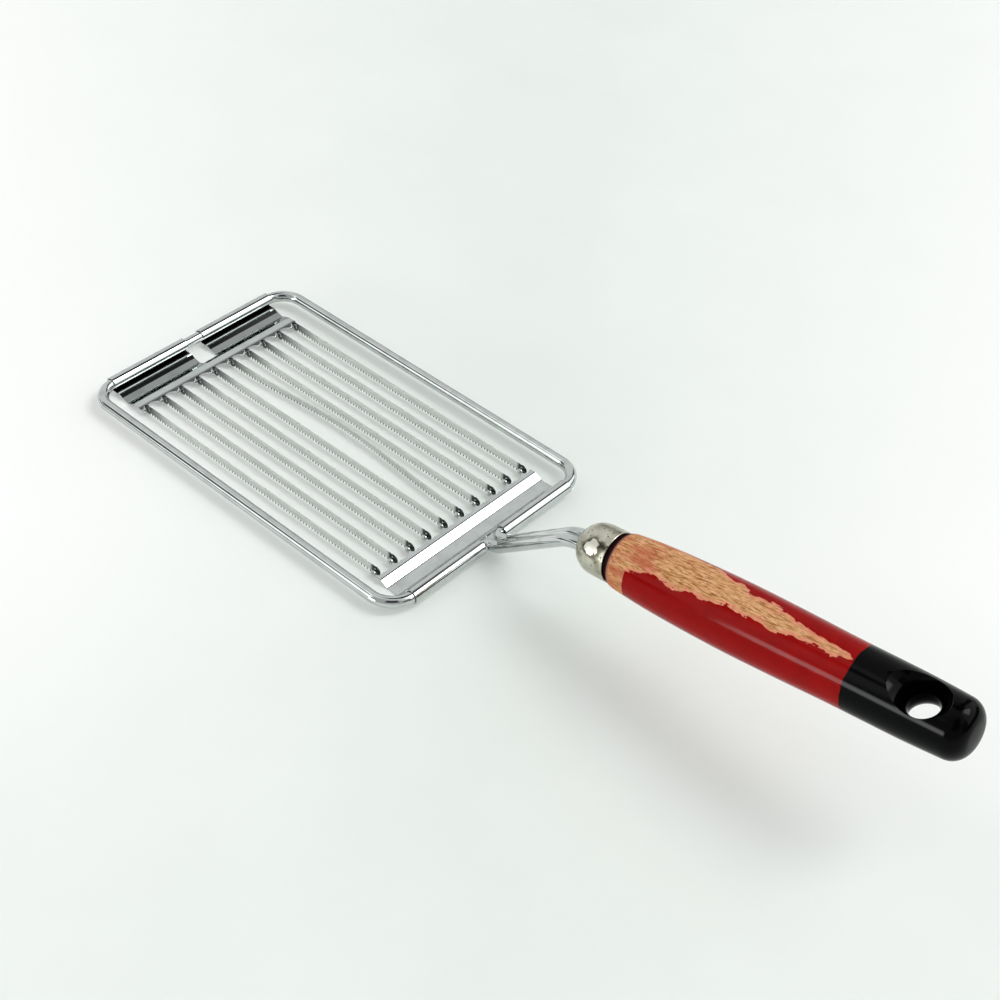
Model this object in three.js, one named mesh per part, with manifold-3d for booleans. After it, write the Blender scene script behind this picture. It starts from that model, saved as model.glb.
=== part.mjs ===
// A hand-held tomato slicer: ten serrated blades strung between two comb plates on a wire frame,
// with a turned handle behind it. Millimetres, +Z up, +X from the head towards the handle.
// Inside the head the middle of the wire rectangle is zero; at the end the whole tool is moved so
// that its origin lies on the table, under the middle of its outline.
import * as THREE from "three";
import { mergeVertices } from "three/addons/utils/BufferGeometryUtils.js";
import Module from "manifold-3d";

// Clearances
const seatGap = 0.3; // between a piece and the neighbour that carries it
const sleeveGap = 0.2; // between the frame wire and the sheet rolled round it
const overrun = 1.0; // how far a cutter runs past what it cuts
const weldTolerance = 0.0001;

// Frame wire, one length: rectangle, two knuckles, shank of two legs, two tangs
const wireDiameter = 4.2;
const frameLength = 156.5; // between the centre lines of the far and near wires
const frameCornerRadius = 9.5;
const sleeveOverBend = 0.8; // how far the sleeves' ends reach over the start of the corner bends
const knuckleRadius = 2.9;
const legGap = 0.3; // between the two legs of the shank
const shankFootReach = 5.5; // from the near wire to the bend where the shank turns up
const shankFootRise = 1.6;
const shankFootRadius = 8;
const shankReach = 35.2; // from the near wire to the bend into the handle
const shankRise = 25.4;
const shankTopRadius = 12;
const handleTilt = THREE.MathUtils.degToRad(8.06);
const tangLength = 45;
const wireSides = 12;
const bendStep = THREE.MathUtils.degToRad(15);

// End plates, pressed from sheet
const sheetThickness = 0.4;
const plateMargin = 0.1; // sheet beyond the outermost stem
const foldRadius = 0.6; // of the sheet's middle
const lipAngle = THREE.MathUtils.degToRad(8); // where the free lip of the roll ends
const rollSteps = 12;
const shelfRun = 3.4; // flat sheet from under the wire's centre to the first fold
const farSlopeRun = 2.4; // then the far sheet falls to its ramp, floor and steep step, and the comb is flat
const farRampRun = 3.6;
const farRampRise = 0.6;
const farFloorRun = 1.5;
const farStepRun = 0.5;
const nearSlopeRun = 3.2; // and the near sheet falls to its floor and rises along its slanted facet
const nearFloorRun = 4.6;
const nearFacetRun = 3.2;
const eyeInset = 18.45; // from the wire's centre to the blade eyes
const eyeDrop = 2.3; // from the wire's centre down to the eyes and the comb
const floorDrop = 4.05; // from the wire's centre down to the trough's floor
const windowWidth = 7.6; // window between the two far sleeves
const notchReach = 0.6; // how far the notched sheet still runs outwards from the wire's centre

// Comb fingers: a stem beside each blade, and a round nose through its eye
const noseDiameter = 1.2;
const noseReach = 1.2; // from the blade's middle to the end of the nose
const stemOuter = 1.9; // from the blade's middle to the outer side of the stem
const stemInner = 0.7;
const slotReach = 1.0; // from the blade's middle to the slot's other side
const slotDepthGap = 0.6; // between a blade's ring and the bottom of its slot
const toothShoulder = 1.15; // from the eyes back to where the stem meets the scallop
const scallopStart = 2.15; // from the eyes back to the two ends of the scallop's low side
const scallopDepth = 3.5; // from the eyes back to the control point of the scallop's curve

// Blades
const bladeCount = 10;
const bladePitch = 8;
const bladeThickness = 0.45;
const bladeHeight = 3.5; // with the teeth
const toothPitch = 1.43;
const toothDepth = 0.55;
const ringSwell = 0.1; // how far a blade's round end stands out past its edges
const eyeDiameter = 2.0;

// Ferrule, measured along the handle's axis from its domed end
const ferruleDiameter = 17.2;
const ferruleLength = 15;
const ferruleWall = 0.6;

// Handle, turned from one piece of wood
const shoulderGap = 1.2; // dark ring between the ferrule and the shoulder
const handleLength = 124.2; // from the shoulder to the end
const handleDiameter = 22.2;
const shoulderRadius = 1.4;
const endEdgeRadius = 6;
const endDome = 0.4;
const spigotStart = 7; // from the ferrule's domed end to the spigot's end inside it
const spigotChamfer = 0.8;
const hangHoleDiameter = 8.7;
const hangHoleInset = 16.4; // from the handle's end
const hangHoleMouth = 24.5; // across the flared hole, where the handle is thickest
const hangHoleTurn = THREE.MathUtils.degToRad(18); // of the hole about the handle's axis
const lathePoints = 24;
// The handle's swell: shares of its length, and shares of its greatest radius
const swellShares = [
  [0, 0.82],
  [0.09, 0.915],
  [0.2, 0.972],
  [0.35, 1],
  [0.5, 0.977],
  [0.66, 0.932],
  [0.84, 0.908],
  [0.95, 0.858],
];

// Sizes that follow
const wireRadius = wireDiameter / 2;
const legOffset = (wireDiameter + legGap) / 2;
const rollRadius = wireRadius + sleeveGap + sheetThickness / 2;
const outerReach = rollRadius + sheetThickness / 2;
const notchWidth = 2 * (legOffset + knuckleRadius); // the near roll ends where the wire starts to bend
const ringRadius = bladeHeight / 2 + ringSwell;
const noseRadius = noseDiameter / 2;
// The taut blade pulls its eye towards the middle of the head, against the back of the nose.
const noseInset = eyeInset - eyeDiameter / 2 + seatGap + noseRadius;
const eyeReach = frameLength / 2 - eyeInset;
const ferruleRadius = ferruleDiameter / 2;
const spigotRadius = ferruleRadius - ferruleWall - seatGap;
const shoulder = ferruleLength + shoulderGap;
const handleRadius = handleDiameter / 2;
const handleEnd = shoulder + handleLength;
const outerBlade = ((bladeCount - 1) / 2) * bladePitch;
const plateLength = 2 * (outerBlade + stemOuter + plateMargin);
const frameWidth = plateLength + 2 * (frameCornerRadius - sleeveOverBend);
const bladePlaces = Array.from(
  { length: bladeCount },
  (_, i) => i * bladePitch - outerBlade,
);

const wasm = await Module();
wasm.setup();

// A closed geometry as a solid that can be cut and joined
function toSolid(geometry) {
  const bare = geometry.clone();
  bare.deleteAttribute("normal");
  bare.deleteAttribute("uv");
  const welded = mergeVertices(bare, weldTolerance);
  return new wasm.Manifold(
    new wasm.Mesh({
      numProp: 3,
      vertProperties: welded.attributes.position.array,
      triVerts: Uint32Array.from(welded.index.array),
    }),
  );
}

function toGeometry(solid) {
  const { vertProperties, triVerts } = solid.getMesh();
  const geometry = new THREE.BufferGeometry();
  geometry.setAttribute("position", new THREE.BufferAttribute(vertProperties, 3));
  geometry.setIndex(new THREE.BufferAttribute(triVerts, 1));
  geometry.computeVertexNormals();
  return geometry;
}

// Points and directions along straight runs whose corners are rounded by arcs
function roundedRoute(corners) {
  const runs = corners
    .slice(1)
    .map((corner, i) => corner.at.clone().sub(corners[i].at).normalize());
  const stations = [{ point: corners[0].at, direction: runs[0] }];
  for (let i = 1; i < corners.length - 1; i++) {
    const [before, after] = [runs[i - 1], runs[i]];
    const turn = before.angleTo(after);
    const inward = after
      .clone()
      .addScaledVector(before, -Math.cos(turn))
      .normalize();
    const start = corners[i].at
      .clone()
      .addScaledVector(before, -corners[i].radius * Math.tan(turn / 2));
    const centre = start.clone().addScaledVector(inward, corners[i].radius);
    const steps = Math.max(2, Math.ceil(turn / bendStep));
    for (let step = 0; step <= steps; step++) {
      const angle = (turn * step) / steps;
      const point = centre
        .clone()
        .addScaledVector(inward, -corners[i].radius * Math.cos(angle))
        .addScaledVector(before, corners[i].radius * Math.sin(angle));
      const direction = before
        .clone()
        .multiplyScalar(Math.cos(angle))
        .addScaledVector(inward, Math.sin(angle));
      stations.push({ point, direction });
    }
  }
  stations.push({ point: corners.at(-1).at, direction: runs.at(-1) });
  return stations;
}

// A curve with one station for each step of a sweep, so that straight runs need no steps of their own
class StationCurve extends THREE.Curve {
  constructor(stations) {
    super();
    this.stations = stations;
  }
  stationAt(share) {
    return this.stations[Math.round(share * (this.stations.length - 1))];
  }
  getPointAt(share, target = new THREE.Vector3()) {
    return target.copy(this.stationAt(share).point);
  }
  getTangentAt(share, target = new THREE.Vector3()) {
    return target.copy(this.stationAt(share).direction);
  }
}

// The frame: both ends of the wire start as tangs, and it closes round the far side of the head
const handleAxis = new THREE.Vector3(Math.cos(handleTilt), 0, Math.sin(handleTilt));
const nearWire = frameLength / 2;
const shankFoot = new THREE.Vector3(nearWire + shankFootReach, 0, shankFootRise);
const shankTop = new THREE.Vector3(nearWire + shankReach, 0, shankRise);
const shankSlope = shankTop.clone().sub(shankFoot);
const shankTopSetback = shankTopRadius * Math.tan(shankSlope.angleTo(handleAxis) / 2);
// The ferrule's domed end stands where the shank has turned into the handle's axis.
const ferruleStart = shankTop.clone().addScaledVector(handleAxis, shankTopSetback);
const tangEnd = ferruleStart.clone().addScaledVector(handleAxis, spigotStart + tangLength);

function frameWireGeometry() {
  // Corners of one half, from the tang to the far side; side is +1 or -1 across the head
  const halfRoute = (side) => [
    { at: tangEnd.clone().setY(side * legOffset) },
    { at: shankTop.clone().setY(side * legOffset), radius: shankTopRadius },
    { at: shankFoot.clone().setY(side * legOffset), radius: shankFootRadius },
    { at: new THREE.Vector3(nearWire, side * legOffset, 0), radius: knuckleRadius },
    { at: new THREE.Vector3(nearWire, (side * frameWidth) / 2, 0), radius: frameCornerRadius },
    { at: new THREE.Vector3(-nearWire, (side * frameWidth) / 2, 0), radius: frameCornerRadius },
  ];
  const stations = roundedRoute([...halfRoute(1), ...halfRoute(-1).reverse()]);
  const section = new THREE.Shape().absarc(0, 0, wireRadius, 0, 2 * Math.PI);
  return new THREE.ExtrudeGeometry(section, {
    steps: stations.length - 1,
    curveSegments: wireSides / 2,
    extrudePath: new StationCurve(stations),
  });
}

// Turns an extrusion of a side view, drawn in x and height, to stand along Y with its middle at zero
function standAcross(geometry, length) {
  return geometry.rotateX(Math.PI / 2).translate(0, length / 2, 0);
}

// The sheet of a plate: rolled over the wire from its free lip, then folded along the given corners.
// x is the depth from the wire's centre towards the middle of the head.
function foldedSheet(corners) {
  const stations = [];
  const bottomAngle = 1.5 * Math.PI;
  for (let step = 0; step < rollSteps; step++) {
    const angle = THREE.MathUtils.lerp(lipAngle, bottomAngle, step / rollSteps);
    const outward = new THREE.Vector3(Math.cos(angle), Math.sin(angle), 0);
    const direction = new THREE.Vector3(-Math.sin(angle), Math.cos(angle), 0);
    stations.push({ point: outward.multiplyScalar(rollRadius), direction });
  }
  const underWire = { at: new THREE.Vector3(0, -rollRadius, 0) };
  stations.push(...roundedRoute([underWire, ...corners]));
  const side = (sign) =>
    stations.map(({ point, direction }) => {
      const offset = (sign * sheetThickness) / 2;
      return new THREE.Vector2(point.x - direction.y * offset, point.y + direction.x * offset);
    });
  const outline = new THREE.Shape([...side(1), ...side(-1).reverse()]);
  const settings = { depth: plateLength, bevelEnabled: false };
  return toSolid(standAcross(new THREE.ExtrudeGeometry(outline, settings), plateLength));
}

const fold = (depth, drop) => ({ at: new THREE.Vector3(depth, -drop, 0), radius: foldRadius });

const farFloorStart = shelfRun + farSlopeRun + farRampRun;
const farFloorEnd = farFloorStart + farFloorRun;
const nearFloorStart = shelfRun + nearSlopeRun;
const nearFloorEnd = nearFloorStart + nearFloorRun;

const farSheet = () =>
  foldedSheet([
    fold(shelfRun, rollRadius),
    fold(shelfRun + farSlopeRun, floorDrop - farRampRise),
    fold(farFloorStart, floorDrop),
    fold(farFloorEnd, floorDrop),
    fold(farFloorEnd + farStepRun, eyeDrop),
    fold(eyeInset + noseDiameter, eyeDrop),
  ]);

const nearSheet = () =>
  foldedSheet([
    fold(shelfRun, rollRadius),
    fold(nearFloorStart, floorDrop),
    fold(nearFloorEnd, floorDrop),
    fold(nearFloorEnd + nearFacetRun, eyeDrop),
    fold(eyeInset + noseDiameter, eyeDrop),
  ]);

// An upright cutter of a plan outline, from the given height to above the whole plate
function planCutter(shape, curveSegments, bottom = -floorDrop - overrun) {
  const settings = { depth: outerReach + overrun - bottom, bevelEnabled: false, curveSegments };
  return toSolid(new THREE.ExtrudeGeometry(shape, settings).translate(0, 0, bottom));
}

function rectangle(fromX, toX, width) {
  return new THREE.Shape()
    .moveTo(fromX, -width / 2)
    .lineTo(toX, -width / 2)
    .lineTo(toX, width / 2)
    .lineTo(fromX, width / 2)
    .closePath();
}

// The plan of a plate with its comb; stemSide is the side of each blade on which its stem stands
function combPlan(stemSide) {
  const slotBottom = eyeInset - ringRadius - slotDepthGap;
  const plan = new THREE.Shape();
  const half = plateLength / 2;
  const at = (depth, place) => [depth, -stemSide * place];
  plan.moveTo(...at(-outerReach - overrun, -half));
  plan.lineTo(...at(eyeInset - scallopStart, -half));
  for (const place of bladePlaces) {
    plan.lineTo(...at(eyeInset - toothShoulder, place - stemOuter));
    plan.lineTo(...at(noseInset, place - stemOuter));
    plan.lineTo(...at(noseInset, place - stemInner));
    plan.lineTo(...at(slotBottom, place - stemInner));
    plan.lineTo(...at(slotBottom, place + slotReach));
    plan.lineTo(...at(eyeInset - scallopStart, place + slotReach));
    const next = place + bladePitch;
    if (next < half) {
      const low = at(eyeInset - scallopDepth, place + bladePitch / 2);
      plan.quadraticCurveTo(...low, ...at(eyeInset - toothShoulder, next - stemOuter));
    }
  }
  plan.lineTo(...at(eyeInset - scallopStart, half));
  plan.lineTo(...at(-outerReach - overrun, half));
  plan.closePath();
  return plan;
}

// A plate: the folded sheet trimmed to its comb, with a nose on each finger
function combPlate(sheet, stemSide) {
  let plate = sheet.intersect(planCutter(combPlan(stemSide), 4));
  const noseLength = stemOuter + noseReach - noseDiameter;
  for (const place of bladePlaces) {
    const nose = new THREE.CapsuleGeometry(noseRadius, noseLength, 2, 8);
    nose.translate(noseInset, -stemSide * (place - stemOuter + noseRadius + noseLength / 2), -eyeDrop);
    plate = plate.add(toSolid(nose));
  }
  return plate;
}

function farPlateGeometry() {
  const window = rectangle(-outerReach - overrun, farFloorEnd, windowWidth);
  return toGeometry(combPlate(farSheet(), -1).subtract(planCutter(window, 1)));
}

// The notch takes the whole roll away above the shelf, but leaves the sheet that runs under the legs.
function nearPlateGeometry() {
  const outside = rectangle(-outerReach - overrun, -notchReach, notchWidth);
  const roll = rectangle(-outerReach - overrun, outerReach + overrun, notchWidth);
  const plate = combPlate(nearSheet(), 1)
    .subtract(planCutter(outside, 1))
    .subtract(planCutter(roll, 1, -wireRadius));
  return toGeometry(plate);
}

// A blade's side view: a ring round each eye, a straight back and teeth along the lower edge
function bladeGeometry() {
  const half = bladeHeight / 2;
  const root = toothDepth - half;
  const backAngle = Math.PI - Math.asin(half / ringRadius);
  const rootAngle = Math.PI + Math.asin(-root / ringRadius);
  const teethReach = eyeReach + ringRadius * Math.cos(rootAngle);
  const toothCount = Math.floor((2 * teethReach) / toothPitch);
  const outline = new THREE.Shape();
  outline.moveTo(-teethReach, root);
  for (let tooth = 0; tooth < toothCount; tooth++) {
    const middle = (tooth - (toothCount - 1) / 2) * toothPitch;
    outline.lineTo(middle - toothPitch / 2, root);
    outline.lineTo(middle, -half);
  }
  outline.lineTo((toothCount * toothPitch) / 2, root);
  outline.absarc(eyeReach, 0, ringRadius, rootAngle - 2 * Math.PI, backAngle);
  outline.absarc(-eyeReach, 0, ringRadius, Math.PI - backAngle, 3 * Math.PI - rootAngle);
  for (const side of [-1, 1]) {
    outline.holes.push(new THREE.Path().absarc(side * eyeReach, 0, eyeDiameter / 2, 0, 2 * Math.PI));
  }
  const settings = { depth: bladeThickness, bevelEnabled: false, curveSegments: 4 };
  return standAcross(new THREE.ExtrudeGeometry(outline, settings), bladeThickness);
}

// A turned solid about the X axis from a profile of radius and length along the axis
function turned(profile, segments) {
  return new THREE.LatheGeometry(profile, segments).rotateZ(-Math.PI / 2);
}

function arcPoints(centreX, centreY, radius, from, to, divisions) {
  return new THREE.Path()
    .absarc(centreX, centreY, radius, from, to, to < from)
    .getPoints(divisions / 2);
}

// A slot along the X axis that clears both legs of the wire
function legSlot(from, to) {
  const slotRadius = wireRadius + seatGap;
  const slot = new THREE.Shape()
    .absarc(legOffset, 0, slotRadius, -Math.PI / 2, Math.PI / 2)
    .absarc(-legOffset, 0, slotRadius, Math.PI / 2, 1.5 * Math.PI)
    .closePath();
  const settings = { depth: to - from, bevelEnabled: false, curveSegments: 6 };
  const cutter = new THREE.ExtrudeGeometry(slot, settings);
  return toSolid(cutter.rotateY(Math.PI / 2).rotateX(Math.PI / 2).translate(from, 0, 0));
}

function ferruleGeometry() {
  const innerRadius = ferruleRadius - ferruleWall;
  const dome = (radius, inside) => {
    const points = arcPoints(0, ferruleRadius, radius, -Math.PI / 2, 0, 6);
    points[0].x = 0;
    return inside ? points.reverse() : points;
  };
  const profile = [
    ...dome(ferruleRadius, false),
    new THREE.Vector2(ferruleRadius, ferruleLength),
    new THREE.Vector2(innerRadius, ferruleLength),
    ...dome(innerRadius, true),
  ];
  const cap = toSolid(turned(profile, lathePoints));
  return toGeometry(cap.subtract(legSlot(-overrun, ferruleRadius)));
}

// The handle's profile from the spigot's end to its rounded butt
function handleProfile() {
  const swell = new THREE.SplineCurve(
    swellShares.map(([length, radius]) => {
      return new THREE.Vector2(handleRadius * radius, shoulder + handleLength * length);
    }),
  ).getPoints(12);
  const [shoulderEdge, buttEdge] = [swell[0].x, swell.at(-1).x];
  const edgeStart = handleEnd - endDome - endEdgeRadius;
  return [
    new THREE.Vector2(0, spigotStart),
    new THREE.Vector2(spigotRadius - spigotChamfer, spigotStart),
    new THREE.Vector2(spigotRadius, spigotStart + spigotChamfer),
    new THREE.Vector2(spigotRadius, shoulder),
    ...shoulderRound(shoulderEdge),
    ...swell.slice(1).filter((point) => point.y < edgeStart),
    ...arcPoints(buttEdge - endEdgeRadius, edgeStart, endEdgeRadius, 0, Math.PI / 2, 8),
    new THREE.Vector2(0, handleEnd),
  ];
}

function shoulderRound(edge) {
  const centre = shoulder + shoulderRadius;
  return arcPoints(edge - shoulderRadius, centre, shoulderRadius, -Math.PI / 2, 0, 4);
}

// The cutter of the hanging hole: narrowest on the handle's axis, and flared by an arc to both sides
function hangHoleCutter() {
  const top = handleRadius + overrun;
  const [waist, mouth] = [hangHoleDiameter / 2, hangHoleMouth / 2];
  const opening = mouth - waist;
  const flareRadius = (opening ** 2 + handleRadius ** 2) / (2 * opening);
  const turn = Math.asin(handleRadius / flareRadius);
  const flare = arcPoints(waist + flareRadius, 0, flareRadius, Math.PI + turn, Math.PI - turn, 10);
  const profile = [
    new THREE.Vector2(0, -top),
    new THREE.Vector2(mouth, -top),
    ...flare,
    new THREE.Vector2(mouth, top),
    new THREE.Vector2(0, top),
  ];
  const cutter = new THREE.LatheGeometry(profile, 20).rotateX(Math.PI / 2 + hangHoleTurn);
  return toSolid(cutter.translate(handleEnd - hangHoleInset, 0, 0));
}

function handleGeometry() {
  const wood = toSolid(turned(handleProfile(), lathePoints));
  const tangBore = legSlot(spigotStart - overrun, spigotStart + tangLength + seatGap);
  return toGeometry(wood.subtract(tangBore).subtract(hangHoleCutter()));
}

function piece(name, geometry, color, roughness, metalness) {
  const material = new THREE.MeshStandardMaterial({ color, roughness, metalness });
  const mesh = new THREE.Mesh(geometry, material);
  mesh.name = name;
  return mesh;
}

const chrome = (name, geometry) => piece(name, geometry, 0xc8cbcf, 0.12, 1);

function makeHead() {
  const head = new THREE.Group();
  const farPlate = chrome("far_end_plate", farPlateGeometry());
  farPlate.position.x = -frameLength / 2;
  const nearPlate = chrome("near_end_plate", nearPlateGeometry());
  nearPlate.position.x = frameLength / 2;
  nearPlate.rotation.z = Math.PI;
  head.add(chrome("frame_wire", frameWireGeometry()), farPlate, nearPlate);
  bladePlaces.forEach((place, i) => {
    const name = `blade_${String(i + 1).padStart(2, "0")}`;
    const blade = piece(name, bladeGeometry(), 0xb9bdc1, 0.25, 1);
    blade.position.set(0, place, -eyeDrop);
    head.add(blade);
  });
  return head;
}

function makeGrip() {
  const grip = new THREE.Group();
  grip.position.copy(ferruleStart);
  grip.rotation.y = -handleTilt;
  grip.add(
    piece("ferrule", ferruleGeometry(), 0x9a9690, 0.38, 1),
    piece("handle", handleGeometry(), 0xa31212, 0.3, 0),
  );
  return grip;
}

const slicer = new THREE.Group();
slicer.name = "tomato_slicer";
slicer.add(makeHead(), makeGrip());

const box = new THREE.Box3().setFromObject(slicer, true);
const middle = box.getCenter(new THREE.Vector3());
slicer.position.set(-middle.x, -middle.y, -box.min.z);

export default slicer;
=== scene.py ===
"""A hand-held tomato slicer with its real finishes, in a plain studio.

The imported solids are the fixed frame. Each of them is replaced here by a finer piece of the same place
and size: the bent wire, the two pressed comb plates, the ten serrated blades, the ferrule and the handle.
Sizes are in millimetres and are turned into metres when a mesh is made. The head's own zero is the middle
of its wire rectangle, and the grip's own zero is the ferrule's domed end, with X along its axis.
"""

from __future__ import annotations

import logging
import math
from collections.abc import Callable, Iterator, Mapping, Sequence
from contextlib import contextmanager
from dataclasses import dataclass, field
from enum import Enum
from typing import Any

import bmesh
import bpy
from mathutils import Matrix, Vector

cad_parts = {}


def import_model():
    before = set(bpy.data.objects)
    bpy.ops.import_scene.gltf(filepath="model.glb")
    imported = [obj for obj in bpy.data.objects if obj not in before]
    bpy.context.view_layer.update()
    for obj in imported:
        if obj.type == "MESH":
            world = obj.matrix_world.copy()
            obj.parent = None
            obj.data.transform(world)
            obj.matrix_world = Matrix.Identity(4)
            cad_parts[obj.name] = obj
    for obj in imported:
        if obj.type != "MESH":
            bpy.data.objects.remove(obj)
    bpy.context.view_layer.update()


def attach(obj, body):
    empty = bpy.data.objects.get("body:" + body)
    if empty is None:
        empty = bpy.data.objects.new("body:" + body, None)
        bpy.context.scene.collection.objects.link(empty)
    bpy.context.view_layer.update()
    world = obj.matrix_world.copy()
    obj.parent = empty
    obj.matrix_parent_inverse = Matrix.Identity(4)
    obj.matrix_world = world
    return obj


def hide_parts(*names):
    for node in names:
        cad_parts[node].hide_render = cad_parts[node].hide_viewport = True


Solid = bpy.types.Object
Material = bpy.types.Material
Tree = bpy.types.NodeTree
Socket = bpy.types.NodeSocket

LOG = logging.getLogger("slicer")
MM = 0.001
BODY = "root"
HEAD_MIDDLE = Vector((-87.46, 0.0, 4.25))
GRIP_START = Vector((29.246, 0.0, 30.111))
GRIP_TILT = math.radians(8.06)
LEG_OFFSET = 2.25
HOLE_ALONG = 124.0
HOLE_TURN = math.radians(18.0)
# How far off a point may be in a test of its place.
SLACK = 0.01 * MM
# The inputs of a map range: where it starts and ends, and what it gives there, 0 and 1 if left out.
LOW, HIGH, AT_LOW, AT_HIGH = 1, 2, 3, 4


# Shaping by hand


class Element(Enum):
    """What a selection picks out of a mesh."""

    POINTS = "VERT"
    EDGES = "EDGE"
    FACES = "FACE"


class Join(Enum):
    """How a second solid changes the first."""

    ADD = "UNION"
    CUT = "DIFFERENCE"
    KEEP_COMMON = "INTERSECT"


def deselect_all() -> None:
    """Leaves edit mode and deselects every object."""
    if bpy.context.mode != "OBJECT":
        bpy.ops.object.mode_set(mode="OBJECT")
    bpy.ops.object.select_all(action="DESELECT")


def take(piece: Solid) -> None:
    """Selects one piece alone and makes it active.

    Args:
        piece: The piece.
    """
    deselect_all()
    piece.select_set(True)
    bpy.context.view_layer.objects.active = piece


def start_from(name: str, primitive: Callable[..., Any], **settings: Any) -> Solid:
    """Adds a primitive to begin a piece with.

    Args:
        name: The name of the piece.
        primitive: The operator that adds it.
        **settings: The operator's own settings, in metres.

    Returns:
        The new object, with its place in its mesh.
    """
    deselect_all()
    primitive(**settings)
    piece = bpy.context.active_object
    piece.name = name
    piece.data.name = name
    bpy.ops.object.transform_apply(location=True, rotation=True, scale=True)
    return piece


@contextmanager
def shaping(piece: Solid) -> Iterator[None]:
    """Puts one piece in edit mode while it is shaped.

    Args:
        piece: The piece to shape.
    """
    take(piece)
    bpy.ops.object.mode_set(mode="EDIT")
    yield
    bpy.ops.object.mode_set(mode="OBJECT")


def choose(piece: Solid, element: Element, test: Callable[[Vector, Any], bool]) -> None:
    """Selects the elements of a piece in edit mode whose middle passes a test.

    Args:
        piece: The piece in edit mode.
        element: Points, edges or faces.
        test: Is given the middle in metres and the element itself.
    """
    bpy.ops.mesh.select_mode(type=element.value)
    bpy.ops.mesh.select_all(action="DESELECT")
    mesh = bmesh.from_edit_mesh(piece.data)
    items = {Element.POINTS: mesh.verts, Element.EDGES: mesh.edges, Element.FACES: mesh.faces}
    for item in items[element]:
        points = [item] if element is Element.POINTS else item.verts
        middle = sum((point.co for point in points), Vector()) / len(points)
        if test(middle, item):
            item.select_set(True)
    mesh.select_flush_mode()
    bmesh.update_edit_mesh(piece.data)


def pull(step: Vector) -> None:
    """Extrudes what is selected by a step in metres."""
    bpy.ops.mesh.extrude_region_move(TRANSFORM_OT_translate={"value": step})


def swing(centre: Vector, axis: Vector, angle: float, steps: int) -> None:
    """Spins what is selected about an axis through a centre, in metres and radians."""
    bpy.ops.mesh.spin(steps=steps, angle=-angle, center=centre, axis=axis, use_auto_merge=False)


def close_up(piece: Solid, weld: float = 0.0005) -> None:
    """Welds a piece's doubles, fills its holes and turns its faces outwards.

    Args:
        piece: The piece to close.
        weld: The distance in millimetres under which points are one.
    """
    with shaping(piece):
        bpy.ops.mesh.select_mode(type=Element.POINTS.value)
        bpy.ops.mesh.select_all(action="SELECT")
        bpy.ops.mesh.remove_doubles(threshold=weld * MM)
        bpy.ops.mesh.fill_holes(sides=0)
        bpy.ops.mesh.select_all(action="SELECT")
        bpy.ops.mesh.normals_make_consistent(inside=False)


def apply_modifier(piece: Solid, kind: str, **settings: Any) -> None:
    """Adds a modifier to a piece and applies it.

    Args:
        piece: The piece to change.
        kind: Blender's name of the modifier's type.
        **settings: The modifier's own settings.
    """
    take(piece)
    modifier = piece.modifiers.new(kind.title(), kind)
    for name, value in settings.items():
        setattr(modifier, name, value)
    bpy.ops.object.modifier_apply(modifier=modifier.name)


def combine(piece: Solid, other: Solid, join: Join) -> None:
    """Changes a piece by a second solid, which is used up.

    Args:
        piece: The piece that stays.
        other: The solid that is added, cut away or kept in common.
        join: Which of the three.
    """
    apply_modifier(piece, "BOOLEAN", object=other, operation=join.value, solver="EXACT")
    bpy.data.objects.remove(other)


def copy_of(piece: Solid, name: str) -> Solid:
    """Copies a piece with a mesh of its own.

    Args:
        piece: The piece to copy.
        name: The copy's name.

    Returns:
        The copy.
    """
    twin = piece.copy()
    twin.data = piece.data.copy()
    twin.name = name
    twin.data.name = name
    bpy.context.scene.collection.objects.link(twin)
    return twin


def put(piece: Solid, place: Vector, turn: Sequence[float] = (0.0, 0.0, 0.0)) -> None:
    """Turns a piece, moves it and keeps the place in its mesh.

    Args:
        piece: The piece, which lies about zero.
        place: Where its zero goes, in metres.
        turn: Its turn about X, Y and Z in radians.
    """
    take(piece)
    piece.rotation_euler = turn
    piece.location = place
    bpy.ops.object.transform_apply(location=True, rotation=True, scale=True)


def smooth(piece: Solid, angle: float) -> None:
    """Shades a piece smoothly and keeps its large faces flat.

    Args:
        piece: The piece.
        angle: The angle in degrees above which an edge stays sharp.
    """
    take(piece)
    bpy.ops.object.shade_smooth_by_angle(angle=math.radians(angle), keep_sharp_edges=False)
    apply_modifier(piece, "WEIGHTED_NORMAL", mode="FACE_AREA", weight=90, keep_sharp=True)


def trace(name: str, points: Sequence[Vector], closed: bool) -> Solid:
    """Draws a line from point to point, as a pen goes round a template.

    Args:
        name: The name of the drawing.
        points: The points in metres.
        closed: Whether the line returns to its start and is filled.

    Returns:
        A mesh of edges, or of one face if it is closed.
    """
    drawing = start_from(name, bpy.ops.mesh.primitive_plane_add, size=MM)
    with shaping(drawing):
        bpy.ops.mesh.select_mode(type=Element.POINTS.value)
        bpy.ops.mesh.select_all(action="SELECT")
        bpy.ops.mesh.merge(type="CENTER")
        bpy.ops.transform.translate(value=points[0])
        for before, after in zip(points, points[1:]):
            bpy.ops.mesh.extrude_vertices_move(TRANSFORM_OT_translate={"value": after - before})
        if closed:
            bpy.ops.mesh.select_all(action="SELECT")
            bpy.ops.mesh.edge_face_add()
    return drawing


def turned(name: str, profile: Sequence[Vector], steps: int) -> Solid:
    """Turns a solid on a lathe whose axis is X.

    Args:
        name: The name of the piece.
        profile: Points of x along the axis and z out from it, in metres.
        steps: How many faces go round.

    Returns:
        The turned piece.
    """
    piece = trace(name, profile, closed=False)
    with shaping(piece):
        bpy.ops.mesh.select_all(action="SELECT")
        swing(Vector(), Vector((1, 0, 0)), 2 * math.pi, steps)
    close_up(piece)
    return piece


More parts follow.
